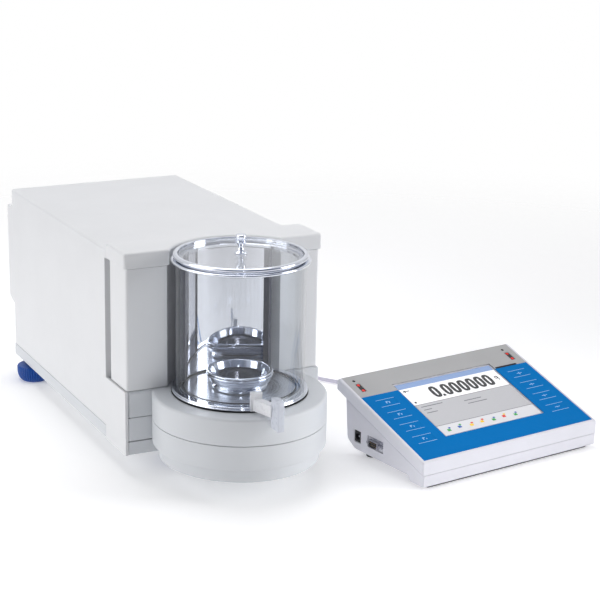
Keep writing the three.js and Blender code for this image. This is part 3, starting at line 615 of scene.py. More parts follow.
def base_tray():
    """Lowest tier: its round front eases in from the tiers above, and its lower edge is rounded."""
    side = footprint(-TRAY_LOW.y, TRAY_LOW.x, TRAY_HIGH.x, CAP_LOW.y, TRAY_HIGH.y, 0)
    shell = prism(side, TRAY_LOW.z, TRAY_HIGH.z, 1.6, 0.5)
    hollow = prism(inset(side, 2 * WALL), TRAY_LOW.z + WALL, TRAY_HIGH.z + 1)
    notch = block(
        TRAY_LOW.x - 1, TRAY_LOW.x + PANEL_THICKNESS + GAP,
        0, SLOT_REAR_Y + 1 + GAP, TRAY_LOW.z - 1, TRAY_HIGH.z + 1)
    piece("base_tray_shell", cut(shell, hollow, notch), [BASE_PAINT_SHADED], "base_tray")


def base_tiers():
    low, high = span("base_mid_tier")
    side = footprint(-low.y, low.x, high.x, CAP_LOW.y, high.y, 1)
    band = prism(side, low.z, high.z, 0.7, 0.4)
    doorway = block(-16, 16, high.y - 10, high.y + 1, low.z - 1, high.z - 3)
    square = footprint(-low.y, low.x, high.x, CAP_LOW.y, high.y, 0)
    hollow = prism(inset(square, WALL), low.z - 1, high.z + 1)
    piece("base_middle_band", cut(band, hollow, doorway), [BASE_PAINT_SHADED], "base_mid_tier")

    low, high = BASE_LOW, BASE_HIGH
    side = footprint(-low.y, low.x, high.x, CAP_LOW.y, high.y, SOFT + 0.1)
    lid = prism(side, low.z, high.z, 0.4, SOFT, 6)
    square = footprint(-low.y, low.x, high.x, CAP_LOW.y, high.y, 0)
    hollow = prism(inset(square, WALL), low.z - 1, high.z - WALL)
    hole = prism(circle(radii("base_top_cover")[0], 160), high.z - 2 * WALL, high.z + 1)
    piece("base_top_shell", cut(lid, hollow, hole), [BASE_PAINT_SHADED], "base_top_cover")


def levelling_foot(node):
    """Ribbed thumbwheel that curves in to its pad, and the stud above it."""
    low, high = span(node)
    center = (low + high) / 2
    outer = (high.x - low.x) / 2
    ribs = 44
    rib_depth = 0.8
    profile = [
        (0, 0), (outer - 4.6, 0), (outer - 3.6, 0.5), (outer - 2.2, 2), (outer - 1, 4.2), (outer - 0.2, 7),
        (outer, 9), (outer, high.z - 3.4), (outer - 0.5, high.z - 2.4), (outer - 1.4, high.z - 2),
        (4.4, high.z - 2), (4, high.z - 2.4 + GAP), (4, high.z), (0, high.z),
    ]
    loops = []
    for radius, z in profile:
        if not radius:
            loops.append([(center.x, center.y, z)])
            continue
        loop = []
        grip = rib_depth if radius > outer - 3 else 0
        for step in range(ribs * 6):
            angle = 2 * math.pi * step / (ribs * 6)
            r = radius - grip * (0.5 + 0.5 * math.cos(ribs * angle)) ** 3
            loop.append((center.x + r * math.cos(angle), center.y + r * math.sin(angle), z))
        loops.append(loop)
    piece(f"{node}_wheel", skin(loops), [FOOT_BLUE], node)


base_tray()
base_tiers()
for foot in ("foot_rear_left", "foot_rear_right", "foot_front_left", "foot_front_right"):
    levelling_foot(foot)


# ------------------------------------------------------------------ column, cap and covers
def corner_arc(x, y, radius, quadrant, steps=6):
    """A rounded corner at (x, y): quadrant 0 is the rear right one, counted anticlockwise."""
    inward = [(-1, -1), (1, -1), (1, 1), (-1, 1)][quadrant]
    center = (x + inward[0] * radius, y + inward[1] * radius)
    return arc(radius, 90 * quadrant, 90 * quadrant + 90, steps, center)


def front_column():
    low, high = span("front_column")
    radius = radii("front_column")[0]
    meet = math.degrees(math.asin(low.y / radius))
    outline = (
        corner_arc(low.x, low.y, SOFT, 2)
        + arc(radius, 180 - meet, meet, 96)
        + corner_arc(high.x, low.y, SOFT, 3)
        + [(high.x, SLOT_FRONT_Y), (NECK_HALF, SLOT_FRONT_Y), (NECK_HALF, high.y), (-NECK_HALF, high.y)]
        + [(-NECK_HALF, SLOT_FRONT_Y), (low.x, SLOT_FRONT_Y)]
    )
    rear_hollow = block(
        WALL - NECK_HALF, NECK_HALF - WALL, radius + WALL, high.y + 1, low.z - 1, high.z - WALL)
    body = cut(prism(outline, low.z, high.z, 0.4, 0.4), rear_hollow)
    piece("column_casting", body, [HOUSING], "front_column")


def column_cap():
    low, high = CAP_LOW, CAP_HIGH
    radius = radii("column_cap")[0]
    meet = math.degrees(math.asin(low.y / radius))
    outline = (
        corner_arc(low.x, low.y, SOFT + 0.2, 2)
        + arc(radius, 180 - meet, meet, 96)
        + corner_arc(high.x, low.y, SOFT + 0.2, 3)
        + [(high.x, high.y), (low.x, high.y)]
    )
    piece("cap_casting", prism(outline, low.z, high.z, 0.8, SOFT, 6), [HOUSING], "column_cap")


def rear_cover():
    """Long shell over the weighing cell: its left side runs forward, its front edges turn in."""
    low, high = COVER_LOW, COVER_HIGH
    z0 = TRAY_HIGH.z + GAP
    crown_front = CAP_HIGH.y + GAP
    plan = (
        corner_arc(high.x, high.y, SOFT + 0.2, 0)
        + corner_arc(low.x, high.y, SOFT + 0.2, 1)
        + [(low.x, crown_front), (high.x, crown_front)]
    )
    shell = prism(plan, z0, high.z, 0.3, SOFT, 6)
    slot = block(low.x - 1, high.x + 1, crown_front - 1, SLOT_REAR_Y, z0 - 1, CAP_LOW.z)
    inner = block(
        low.x + PANEL_THICKNESS, high.x - PANEL_THICKNESS, 0, high.y - PANEL_THICKNESS,
        z0 - 1, high.z - PANEL_THICKNESS)
    cheek_plan = rectangle(low.x, low.x + PANEL_THICKNESS, low.y, SLOT_REAR_Y + 1)
    cheek = prism(cheek_plan, low.z, BASE_HIGH.z - 0.2, 0.3, 0.3, 2)
    lips = [
        block(x0, x1, SLOT_REAR_Y, SLOT_REAR_Y + PANEL_THICKNESS, z0 + 0.3, CAP_LOW.z + 1)
        for x0, x1 in ((low.x + 0.5, -NECK_HALF - GAP), (NECK_HALF + GAP, high.x - 0.5))
    ]
    piece("cover_shell", union(cut(shell, slot, inner), cheek, *lips), [HOUSING], "rear_cover")


def rear_box():
    low, high = span("rear_box")
    side = filleted([
        (low.y, low.z, 0), (high.y, low.z + 6, SOFT), (high.y, high.z, SOFT), (low.y, high.z, 0)])
    width = high.x - low.x
    shell = prism(side, 0, width, 1.2, 1.2)
    turn = Matrix.Translation((low.x, 0, 0)) @ Matrix.Rotation(math.pi / 2, 4, "Z")
    shell = moved(shell, turn @ Matrix.Rotation(math.pi / 2, 4, "X"))
    hollow = block(
        low.x + WALL, high.x - WALL, low.y - 1, high.y - WALL, low.z + 3 + WALL, high.z - WALL)
    piece("connector_box", cut(shell, hollow), [HOUSING], "rear_box")


def rear_socket(node, look, pins):
    """A round panel socket: a flanged shell with its contacts inside."""
    low, high = span(node)
    radius = (high.x - low.x) / 2
    length = high.y - low.y
    shell = lathe([
        (0, 0), (radius, 0), (radius, 1.4), (radius - 0.8, 2), (radius - 0.8, length - 0.4),
        (radius - 1.2, length), (radius * 0.6, length), (radius * 0.55, length - 0.4),
        (radius * 0.55, 1.6), (0, 1.6),
    ], 48, False)
    contacts = []
    for x, y in circle(radius * 0.28, pins):
        contacts.append(prism(circle(0.45, 12, (x, y)), 1.6, length - 1, 0, 0.3, 2))
    solid = looks_of(merged(shell, *contacts), lambda index: min(index, 1))
    place = Matrix.Translation(((low.x + high.x) / 2, low.y, (low.z + high.z) / 2))
    solid = moved(solid, place @ Matrix.Rotation(-math.pi / 2, 4, "X"))
    piece(f"{node}_body", solid, [look, BRASS], node)


front_column()
column_cap()
rear_cover()
rear_box()
rear_socket("rear_power_inlet", DARK, 1)
rear_socket("rear_terminal_socket", SHELL, 5)


# ------------------------------------------------------------------ weighing chamber
def bead(outer, low, high, steps=8):
    """Half-round outer edge of a ring, from its lower to its upper side."""
    radius = (high - low) / 2
    return arc(radius, -90, 90, steps, (outer - radius, low + radius))


def chamber_floor():
    low, high = span("chamber_floor")
    inner, outer = radii("chamber_floor")
    dished = [
        (inner, low.z), (outer, low.z), (outer, high.z - 0.3), (outer - 0.3, high.z),
        (outer - 3, high.z), (27, high.z - 0.4), (inner + 0.5, high.z - 0.4), (inner, high.z - 0.8),
    ]
    piece("chamber_floor_plate", lathe(dished), [FLOOR_PLATE], "chamber_floor")
    low, high = span("floor_seal")
    inner, outer = radii("floor_seal")
    middle = (inner + outer) / 2
    half = (outer - inner) / 2
    section = [(middle + half * math.cos(a / 6 * math.pi), (low.z + high.z) / 2 + (high.z - low.z) / 2
                * math.sin(a / 6 * math.pi)) for a in range(12)]
    piece("floor_seal_cord", lathe(section), [RUBBER], "floor_seal")
    low, high = span("ring_gasket")
    inner, outer = radii("ring_gasket")
    flat = [(inner, low.z), (outer, low.z), (outer, high.z), (inner, high.z)]
    piece("ring_gasket_disc", lathe(flat), [RUBBER], "ring_gasket")


def bottom_ring():
    low, high = span("bottom_ring")
    inner, outer = radii("bottom_ring")
    rim = BASE_HIGH.z + 1
    throat = radii("base_top_cover")[0] - 1.1
    section = (
        [(inner, low.z), (throat, low.z), (throat, rim)]
        + bead(outer, rim, rim + 1.5, 6)
        + bead(outer - 0.5, rim + 1.7, high.z, 6)
        + [(inner + 0.3, high.z), (inner, high.z - 0.3)]
    )
    piece("bottom_ring_turned", lathe(section), [CHROME], "bottom_ring")


def top_rings():
    """The fixed ring over the glass and the lid's own ring: two bright beads with a dark line between."""
    low, high = span("top_ring")
    inner, outer = radii("top_ring")
    section = (
        [(inner, low.z)] + bead(outer, low.z, high.z - 0.2, 10)
        + [(inner + 0.6, high.z), (inner, high.z - 0.5)]
    )
    piece("top_ring_turned", lathe(section), [CHROME], "top_ring")
    low, high = span("lid_ring")
    inner, outer = radii("lid_ring")
    section = (
        [(inner, low.z), (outer - 2, low.z)] + bead(outer, low.z + 0.3, high.z, 10)
        + [(inner + 0.4, high.z), (inner, high.z - 0.5)]
    )
    piece("lid_ring_turned", lathe(section), [CHROME], "lid_ring")


def lid():
    low, high = span("lid_glass")
    outer = radii("lid_glass")[1]
    plate = [
        (0, low.z), (outer - 0.4, low.z), (outer, low.z + 0.4),
        (outer, high.z - 0.4), (outer - 0.4, high.z), (0, high.z),
    ]
    piece("lid_glass_disc", lathe(plate, closed=False), [LID_GLASS], "lid_glass")
    low, high = span("lid_knob")
    z = low.z
    top = high.z
    flange = 5.2
    head = 4.2
    spool = (
        [(0, z)] + arc(0.7, -90, 90, 6, (flange - 0.7, z + 0.7))
        + [(3.6, z + 1.9), (2.7, z + 2.7), (2.2, z + 3.8)]
        + [(2.1, z + 5.4), (2.4, z + 6.6), (3.3, z + 7.5), (head - 0.1, z + 8.3), (head, z + 9)]
        + [(head, top - 1.2)] + arc(1, 0, 90, 6, (head - 1, top - 1)) + [(0, top)]
    )
    piece("lid_knob_spool", lathe(spool, 64, False), [CHROME], "lid_knob")


def curved_walls():
    """The glass walls, the steel liner behind the pan, and the seals at the liner's edges."""
    for node, look, name in (
        ("door_glass", GLASS, "door_glass_wall"), ("fixed_glass", GLASS, "fixed_glass_wall"),
        ("chamber_liner", LINER, "liner_sheet"), ("liner_seal_right", SEAL, "liner_seal_right_strip"),
        ("liner_seal_left", SEAL, "liner_seal_left_strip"),
    ):
        low, high = span(node)
        inner, outer = radii(node)
        start, end = bearings(node)
        steps = max(6, round((end - start) * 0.9))
        wall = sector(inner, outer, low.z, high.z, start, end, steps, 0.25)
        piece(name, wall, [look], node)


def door_handle():
    """White moulded handle: a claw over the ring, an arm reaching out and a frosted finger plate."""
    low, high = span("door_handle")
    ring_top = span("bottom_ring")[1].z
    glass = radii("door_glass")[1]
    arm_start = Vector((-10.6, -glass - 2.6))
    arm_end = Vector((-5.2, low.y + 10.4))
    along = (arm_end - arm_start).normalized()
    across = Vector((-along.y, along.x)) * 3.4
    corners = [arm_start - across, arm_end - across, arm_end + across, arm_start + across]
    arm = prism([tuple(corner) for corner in corners], ring_top - 1.6, ring_top + 7.2)
    claw = sector(glass + 0.4, glass + 4.4, ring_top + 0.4, ring_top + 12, -106.5, -97, 10)
    hook = sector(glass + 3.2, glass + 4.4, ring_top - 2.4, ring_top + 1, -106.5, -97, 10)
    root = block(-6.8, -1.8, low.y + 5, low.y + 12, ring_top - 1.2, ring_top + 6.6)
    piece("door_handle_moulding", union(arm, root, claw, hook), [HANDLE], "door_handle", bevel=0.5)
    plate = prism(filleted([(x, y, 1) for x, y in rectangle(-7, -1.6, low.y, low.y + 12.2)]), low.z, high.z)
    piece("door_handle_tab", plate, [FROSTED], "door_handle", bevel=0.4)


def draft_ring_and_pan():
    low, high = span("draft_ring")
    inner, outer = radii("draft_ring")
    z = low.z
    waist = outer - 4.6
    section = (
        [(inner, z), (waist - 0.3, z), (waist, z + 0.3), (waist, z + 2.2), (waist - 0.5, z + 2.8)]
        + [(waist - 0.9, z + 3.3), (waist - 0.8, z + 4.2), (outer - 2.9, z + 5.3), (outer - 2.3, z + 6.2)]
        + [(outer - 1.9, z + 8), (outer - 1.5, z + 9.2), (outer - 0.4, z + 9.9)]
        + bead(outer, z + 10.1, z + 11.8, 6)
        + [(outer - 0.4, z + 12), (outer - 0.3, high.z - 1)]
        + arc(0.9, 0, 90, 5, (outer - 1.2, high.z - 0.9))
        + [(outer - 2.6, high.z), (outer - 3.2, high.z - 0.4), (inner, z + 4.6)]
    )
    piece("draft_ring_cup", lathe(section), [POLISHED], "draft_ring")
    low, high = span("weighing_pan")
    outer = radii("weighing_pan")[1]
    dish = [
        (0, low.z), (outer - 1, low.z), (outer - 0.3, low.z + 0.3), (outer, low.z + 0.9),
        (outer, high.z - 0.2), (outer - 0.35, high.z), (outer - 0.7, high.z - 0.2),
        (outer - 0.9, high.z - 1), (outer - 2, low.z + 0.92), (0, low.z + 0.9),
    ]
    piece("weighing_pan_dish", lathe(dish, closed=False), [PAN_PAINTED_REFLECTION], "weighing_pan")


chamber_floor()
bottom_ring()
top_rings()
lid()
curved_walls()
door_handle()
draft_ring_and_pan()


# ------------------------------------------------------------------ terminal housing
PANEL_WIDTH = span("terminal_film", PANEL)[1].x
PANEL_LENGTH = span("terminal_film", PANEL)[1].y
SIDEWAYS = Matrix.Rotation(math.pi / 2, 4, "Z") @ Matrix.Rotation(math.pi / 2, 4, "X")


def slope_z(y):
    """Height of the terminal's sloping top at a depth y."""
    return PANEL_FRONT.z + y * math.tan(PANEL_TILT)


def side_prism(corners, x0, x1, edge=0.0):
    """A side outline of (y, z, radius) corners made into a solid between two widths."""
    solid = prism(filleted(corners), 0, x1 - x0, edge, edge)
    return moved(solid, Matrix.Translation((x0, 0, 0)) @ SIDEWAYS)


def on_panel(x0, x1, y0, y1, z0, z1):
    return moved(block(x0, x1, y0, y1, z0, z1), TO_PANEL)


def panel_windows(nodes, margin, z0, z1):
    """Cutters over the places of some nodes in the panel."""
    cutters = []
    for node in nodes:
        low, high = span(node, PANEL)
        cutters.append(on_panel(low.x - margin, high.x + margin, low.y - margin, high.y + margin, z0, z1))
    return cutters


KEYS = [node for node in BODY_OF if node.startswith("key_")]
SENSORS = ["sensor_left", "sensor_right"]
SCREEN_LOW = Vector((37, 20, 0))
SCREEN_HIGH = Vector((141, 92, 0))


def terminal_top():
    low, high = span("terminal_top", TERMINAL)
    drop = 10.6
    skin_thickness = 3.4
    outer = side_prism([
        (low.y, slope_z(low.y) - drop, 0), (high.y, slope_z(high.y) - drop, 0),
        (high.y, slope_z(high.y), 2.4), (low.y, slope_z(low.y), 1.8),
    ], low.x, high.x, 1.5)
    front = low.y + WALL
    rear = high.y - WALL
    inside = side_prism([
        (front, slope_z(front) - drop - 1, 0), (rear, slope_z(rear) - drop - 1, 0),
        (rear, slope_z(rear) - skin_thickness, 0), (front, slope_z(front) - skin_thickness, 0),
    ], low.x + WALL, high.x - WALL)
    recess = on_panel(-0.2, PANEL_WIDTH + 0.2, -0.2, PANEL_LENGTH + 0.2, -0.9, 5)
    screen_hole = on_panel(SCREEN_LOW.x + 1, SCREEN_HIGH.x - 1, SCREEN_LOW.y + 1, SCREEN_HIGH.y - 1, -12, 2)
    holes = panel_windows(KEYS + SENSORS, 0.5, -12, 2)
    shell = cut(outer, inside, recess, screen_hole, *holes)
    piece("terminal_upper_shell", shell, [SHELL_PLASTIC], "terminal_top", TERMINAL)


def terminal_base():
    low, high = span("terminal_base", TERMINAL)
    split = 11
    pad_top = 6
    corners = [
        (low.y, low.z, 1.5), (14, low.z, 1.2), (17, pad_top, 1), (84, pad_top, 6),
        (high.y - 3, pad_top + 6, 6),
        (high.y, slope_z(high.y) - split - 0.5, 0), (high.y, slope_z(high.y) - split, 0),
        (low.y, slope_z(low.y) - split, 0),
    ]
    outer = side_prism(corners, low.x, high.x, 0.9)
    front = low.y + WALL
    rear = high.y - WALL - 1
    inside = side_prism([
        (front, pad_top, 0), (14, pad_top, 0), (17, pad_top + 3, 0), (80, pad_top + 3, 0),
        (88, pad_top + 8, 0),
        (rear, slope_z(rear) - split + 3, 0), (front, slope_z(front) - split + 3, 0),
    ], low.x + WALL, high.x - WALL)
    port_low, port_high = span("terminal_data_port", TERMINAL)
    jack_low, jack_high = span("terminal_power_jack", TERMINAL)
    port_hole = block(-10, 5, port_low.y - 0.5, port_high.y + 0.5, port_low.z - 0.5, port_high.z + 0.5)
    jack_hole = block(-10, 5, jack_low.y - 0.4, jack_high.y + 0.4, jack_low.z - 0.4, jack_high.z + 0.4)
    shell = cut(outer, inside, port_hole, jack_hole)
    piece("terminal_lower_shell", shell, [SHELL_PLASTIC], "terminal_base", TERMINAL)


def power_jack():
    low, high = span("terminal_power_jack", TERMINAL)
    middle_y = (low.y + high.y) / 2
    middle_z = (low.z + high.z) / 2
    up = (high.z - low.z) / 2
    across = (high.y - low.y) / 2
    face = prism(rectangle(-up, up, -across, across), 0, high.x - low.x, 0, 0.5, 2)
    bore = prism(circle(2.8, 32), 3, 20)
    pin = prism(circle(0.9, 16), 2.5, high.x - low.x - 1.4, 0, 0.4, 3)
    turn = Matrix.Translation((high.x, middle_y, middle_z)) @ Matrix.Rotation(-math.pi / 2, 4, "Y")
    solid = moved(merged(cut(face, bore), pin), turn)
    piece("power_jack_body", solid, [DARK, SHELL], "terminal_power_jack", TERMINAL)


def data_port():
    """Nine-way D-shaped port: a nickel shell round a black insert, between two hexagonal posts."""
    low, high = span("terminal_data_port", TERMINAL)
    middle_y = (low.y + high.y) / 2
    middle_z = (low.z + high.z) / 2
    out = -low.x
    wide = (high.y - low.y) / 2
    flange = prism(filleted([(x, y, 1) for x, y in rectangle(-4.2, 4.2, -wide, wide)]), -0.6, 1.6, 0, 0.3, 2)
    d_shape = filleted([(-3.2, -5, 0.9), (3.2, -6, 0.9), (3.2, 6, 0.9), (-3.2, 5, 0.9)])
    shell = cut(prism(d_shape, 1, out, 0, 0.2, 2), prism(inset(d_shape, 0.5), 1.5, out + 1))
    insert = prism(inset(d_shape, 0.6), 1.4, out - 1.2, 0, 0.3, 2)
    solids = [flange, shell, insert]
    for row, count in ((1, 5), (-1, 4)):
        for index in range(count):
            spot = (row, (index - (count - 1) / 2) * 1.9)
            solids.append(prism(circle(0.24, 12, spot), out - 1.4, out - 0.9, 0, 0.1, 1))
    for side in (-1, 1):
        place = (0, side * (wide - 1.8))
        post = prism(circle(1.5, 6, place), 1.4, out - 0.8, 0, 0.3, 2)
        solids.append(cut(post, prism(circle(0.7, 16, place), out - 2.6, out + 1)))
    shell_look, insert_look, pin_look = range(3)
    looks = [shell_look] * 2 + [insert_look] + [pin_look] * 9 + [shell_look] * 2
    solid = looks_of(merged(*solids), lambda index: looks[index])
    turn = Matrix.Translation((0, middle_y, middle_z)) @ Matrix.Rotation(-math.pi / 2, 4, "Y")
    piece("data_port_body", moved(solid, turn), [SHELL, DARK, BRASS], "terminal_data_port", TERMINAL)


def terminal_pads():
    for node in ("terminal_foot_left", "terminal_foot_right"):
        low, high = span(node, TERMINAL)
        spot = ((low.x + high.x) / 2, (low.y + high.y) / 2)
        pad = prism(circle((high.x - low.x) / 2, 64, spot), low.z, high.z, 0.8, 0)
        piece(f"{node}_pad", pad, [RUBBER], node, TERMINAL)
    low, high = span("terminal_front_strip", TERMINAL)
    plan = filleted([(x, y, 2) for x, y in rectangle(low.x, high.x, low.y, high.y)])
    piece("front_strip_pad", prism(plan, low.z, high.z, 0.4, 0), [RUBBER], "terminal_front_strip", TERMINAL)


terminal_top()
terminal_base()
power_jack()
data_port()
terminal_pads()


# ------------------------------------------------------------------ terminal panel and display
GREY_FROM = SCREEN_HIGH.y - 8
PRINT = 0.05  # thickness of a printed mark
INK = 0.03  # and of the ink on the display


def panel_film():
    """Printed film: blue round the keys, grey along the back."""
    sheet = block(0, PANEL_WIDTH, 0, PANEL_LENGTH, -0.5, 0)
    windows = [block(SCREEN_LOW.x, SCREEN_HIGH.x, SCREEN_LOW.y, SCREEN_HIGH.y, -2, 2)]
    for node in KEYS + SENSORS:
        low, high = span(node, PANEL)
        windows.append(block(low.x - 0.1, high.x + 0.1, low.y - 0.1, high.y + 0.1, -2, 2))
    film = cut(sheet, *windows)
    whole = film.verts[:] + film.edges[:] + film.faces[:]
    bmesh.ops.bisect_plane(film, geom=whole, plane_co=(0, GREY_FROM, 0), plane_no=(0, 1, 0))
    for face in film.faces:
        if face.calc_center_median().y > GREY_FROM:
            face.material_index = 1
    piece("panel_film_print", film, [FILM_BLUE, FILM_GREY], "terminal_film", PANEL)


def strips(boxes, w0, w1):
    """Thin raised prints, from (x0, x1, y0, y1) boxes."""
    return [block(*box, w0, w1) for box in boxes]


def key_marks():
    """A thin pale line above and below each key, and the black bar at the right."""
    lines = []
    for node in KEYS:
        low, high = span(node, PANEL)
        x = (low.x + high.x) / 2
        for y in (low.y - 0.5, high.y + 0.5):
            lines += strips([(x - 9.2, x + 9.2, y - 0.2, y + 0.2)], 0, PRINT)
    solid = looks_of(merged(*lines), lambda index: 0)
    piece("key_lines", solid, [FILM_LINE], "terminal_film", PANEL, replaces=False)
    bar = strips([(SCREEN_HIGH.x + 1.4, SCREEN_HIGH.x + 24.5, GREY_FROM - 0.2, GREY_FROM + 1.8)], 0, PRINT)
    piece("panel_bar", merged(*bar), [FILM_BLACK], "terminal_film", PANEL, replaces=False)


def key(node):
    """A key under the film, with a small printed symbol."""
    low, high = span(node, PANEL)
    x = (low.x + high.x) / 2
    y = (low.y + high.y) / 2
    top = 0.0
    cap = prism(rectangle(low.x, high.x, low.y, high.y), low.z, top, 0, 0.12, 2)
    row = int(node[-1])
    if "left" in node:
        symbol = [(x - 1.8, x - 0.9, y - 1.2, y + 1.2), (x - 0.9, x + 0.6, y + 0.6, y + 1.2)]
        symbol += [(x + 1.4 - 0.5 * row / 4, x + 2, y - 1.2, y - 0.5 + 0.3 * row)]
    else:
        symbol = [(x - 2.6, x - 0.6, y - 0.25, y + 0.25), (x + 0.8, x + 2.8, y - 0.25, y + 0.25)]
        symbol += [(x - 0.3, x + 0.4, y - 0.5 - 0.3 * row, y + 0.5 + 0.2 * row)]
    solid = looks_of(merged(cap, *strips(symbol, top, top + PRINT)), lambda index: min(index, 1))
    piece(f"{node}_cap", solid, [FILM_BLUE, FILM_LINE], node, PANEL)


def sensor(node):
    """Infrared sensor window: a dark pill with a red emitter at each end, and a small mark behind it."""
    low, high = span(node, PANEL)
    half = (high.x - low.x) / 2
    x = low.x + half
    pill = filleted([(px, py, half * 0.8) for px, py in rectangle(low.x, high.x, low.y, high.y)])
    window = prism(pill, low.z, high.z, 0, 0.2, 2)
    ends = [
        prism(circle(half * 0.66, 24, (x, y)), high.z - 0.1, high.z + 0.06)
        for y in (low.y + half * 0.8, high.y - half * 0.8)
    ]
    solid = looks_of(merged(window, *ends), lambda index: min(index, 1))
    piece(f"{node}_window", solid, [SENSOR_DARK, SENSOR_RED], node, PANEL)
    mark = prism(circle(1.3, 20, (x - 0.6, high.y + 4)), 0, PRINT)
    piece(f"{node}_mark", mark, [FILM_BLACK], "terminal_film", PANEL, replaces=False)


def numeral_zero(x, y, width, height, stroke, w0, w1):
    """An upright oval zero."""
    def oval(across, up):
        points = []
        for step in range(40):
            angle = 2 * math.pi * step / 40
            c, s = math.cos(angle), math.sin(angle)
            px = x + across * math.copysign(abs(c) ** 0.7, c)
            points.append((px, y + up * math.copysign(abs(s) ** 0.85, s)))
        return points
    outer = oval(width / 2, height / 2)
    inner = oval(width / 2 - stroke, height / 2 - stroke * 0.8)
    loops = [(outer, w0), (outer, w1), (inner, w1), (inner, w0)]
    return skin([[(px, py, w) for px, py in points] for points, w in loops], closed=True)


def display():
    """Display module: a lit face with a title bar, the readout, a status area and a row of icons."""
    low, high = span("terminal_display", PANEL)
    x0, x1 = SCREEN_LOW.x + 1.4, SCREEN_HIGH.x - 1.4
    y0, y1 = SCREEN_LOW.y + 1.4, SCREEN_HIGH.y - 1.4
    face_z = high.z
    body = block(low.x, high.x, low.y, high.y, low.z, low.z + 4.6)
    glass = prism(rectangle(x0, x1, y0, y1), low.z + 4.5, face_z, 0, 0.1, 1)
    piece("display_module", merged(glass, body), [SCREEN_GREY, SHELL], "terminal_display", PANEL)

    w0, w1 = face_z, face_z + 0.04
    band_low = y1 - 28
    band_high = y1 - 6.4
    areas = merged(
        block(x0, x1, band_high, y1, w0, w1),
        block(x0, x1, band_low, band_high, w0, w1),
        block(x0, x1, y0, y0 + 12, w0, w1),
    )
    area_looks = [SCREEN_BAR, SCREEN_WHITE, SCREEN_STRIP]
    piece("screen_areas", areas, area_looks, "terminal_display", PANEL, replaces=False)

    ink = []
    pitch, width, height, stroke = 9.0, 8.2, 14.6, 3.2
    middle = (band_low + band_high) / 2
    x = x0 + 25.5
    for index in range(7):
        ink.append(numeral_zero(x + width / 2, middle, width, height, stroke, w1, w1 + INK))
        x += pitch
        if index == 0:
            ink += strips([(x - 0.8, x + 1.8, middle - height / 2, middle - height / 2 + 2.6)], w1, w1 + INK)
            x += 3.0
    ink.append(numeral_zero(x1 - 5.2, middle + 1, 3.2, 3.4, 0.9, w1, w1 + INK))
    marks = [
        (x1 - 4.2, x1 - 3.4, middle - 2.6, middle + 2.8),
        (x0 + 2, x0 + 8, band_high - 3.6, band_high - 2.8),
        (x0 + 3, x0 + 4.2, band_high - 4.6, band_high - 1.8),
        (x0 + 2.5, x0 + 4.5, band_low + 2, band_low + 4),
    ]
    ink += strips(marks, w1, w1 + INK)
    solid = looks_of(merged(*ink), lambda index: 0)
    piece("screen_readout", solid, [SCREEN_INK], "terminal_display", PANEL, replaces=False)

    rules = [(x0, x1, band_low - 0.6, band_low - 0.2), (x0, x1, y0 + 12.4, y0 + 12.8)]
    for row, (start, length) in enumerate(((4, 22), (4, 8), (4, 11))):
        rules.append((x0 + start, x0 + start + length, band_low - 4 - 4 * row, band_low - 3.2 - 4 * row))
    for row, (start, length) in enumerate(((46, 18), (47, 20))):
        rules.append((x0 + start, x0 + start + length, band_low - 7.6 - 4 * row, band_low - 6.8 - 4 * row))
    solid = looks_of(merged(*strips(rules, w0, w1)), lambda index: 0)
    piece("screen_rules", solid, [SCREEN_LINE], "terminal_display", PANEL, replaces=False)

    colours = list(ICONS)
    order = ["green", "blue", "yellow", "yellow", "green", "red", "green"]
    icons = []
    for index, colour in enumerate(order):
        x = x0 + 6 + index * 11.6
        y = y0 + 4 + index % 2
        icons.append((block(x, x + 3.4, y, y + 2.6, w1, w1 + INK), colours.index(colour)))
        second = (colours.index(colour) + 2) % 4
        icons.append((block(x + 2.4, x + 4.6, y + 2.8, y + 4.4, w1, w1 + INK), second))
    solid = looks_of(merged(*[mesh for mesh, _ in icons]), lambda index: icons[index][1])
    piece("screen_icons", solid, list(ICONS.values()), "terminal_display", PANEL, replaces=False)


panel_film()
key_marks()
for node in KEYS:
    key(node)
for node in SENSORS:
    sensor(node)
display()


# ------------------------------------------------------------------ CAD pieces that keep their own shape
def finish_cad_nodes():
    for name, node in frame["nodes"].items():
        if node.hide_render:
            continue
        node.data.materials.clear()
        node.data.materials.append(SLOT_LOOK[SLOT_OF[name]])
        node.data.polygons.foreach_set("use_smooth", [True] * len(node.data.polygons))
        node.data.set_sharp_from_angle(angle=math.radians(35))


finish_cad_nodes()


# ------------------------------------------------------------------ stage, light and camera
def floor():
    """Plain white bench that fades into the white surroundings."""
    half = 2.0
    corners = ((-half, -half), (half, -half), (half, half), (-half, half))
    mesh = bmesh.new()
    mesh.faces.new([mesh.verts.new((x, y, 0)) for x, y in corners])
    ground = as_object("floor", mesh)
    look = material(
        "floor_white", (0.94, 0.94, 0.945), 0.9, Specular_IOR_Level=0.1,
        Emission_Color=(1, 1, 1, 1), Emission_Strength=0.24)
    vary_tone(look, flat_pattern(look.node_tree), 0.004, 0.003)
    tree = look.node_tree
    distance = tree.nodes.new("ShaderNodeVectorMath")
    distance.operation = "LENGTH"
    tree.links.new(object_millimetres(tree), distance.inputs[0])
    fade = tree.nodes.new("ShaderNodeMapRange")
    fade.interpolation_type = "SMOOTHSTEP"
    fade.inputs["From Min"].default_value = 550
    fade.inputs["From Max"].default_value = 1300
    tree.links.new(distance.outputs["Value"], fade.inputs["Value"])
    clear = tree.nodes.new("ShaderNodeBsdfTransparent")
    mix = tree.nodes.new("ShaderNodeMixShader")
    tree.links.new(fade.outputs["Result"], mix.inputs[0])
    tree.links.new(tree.nodes["Principled BSDF"].outputs[0], mix.inputs[1])
    tree.links.new(clear.outputs[0], mix.inputs[2])
    tree.links.new(mix.outputs[0], tree.nodes["Material Output"].inputs["Surface"])
    ground.data.materials.append(look)


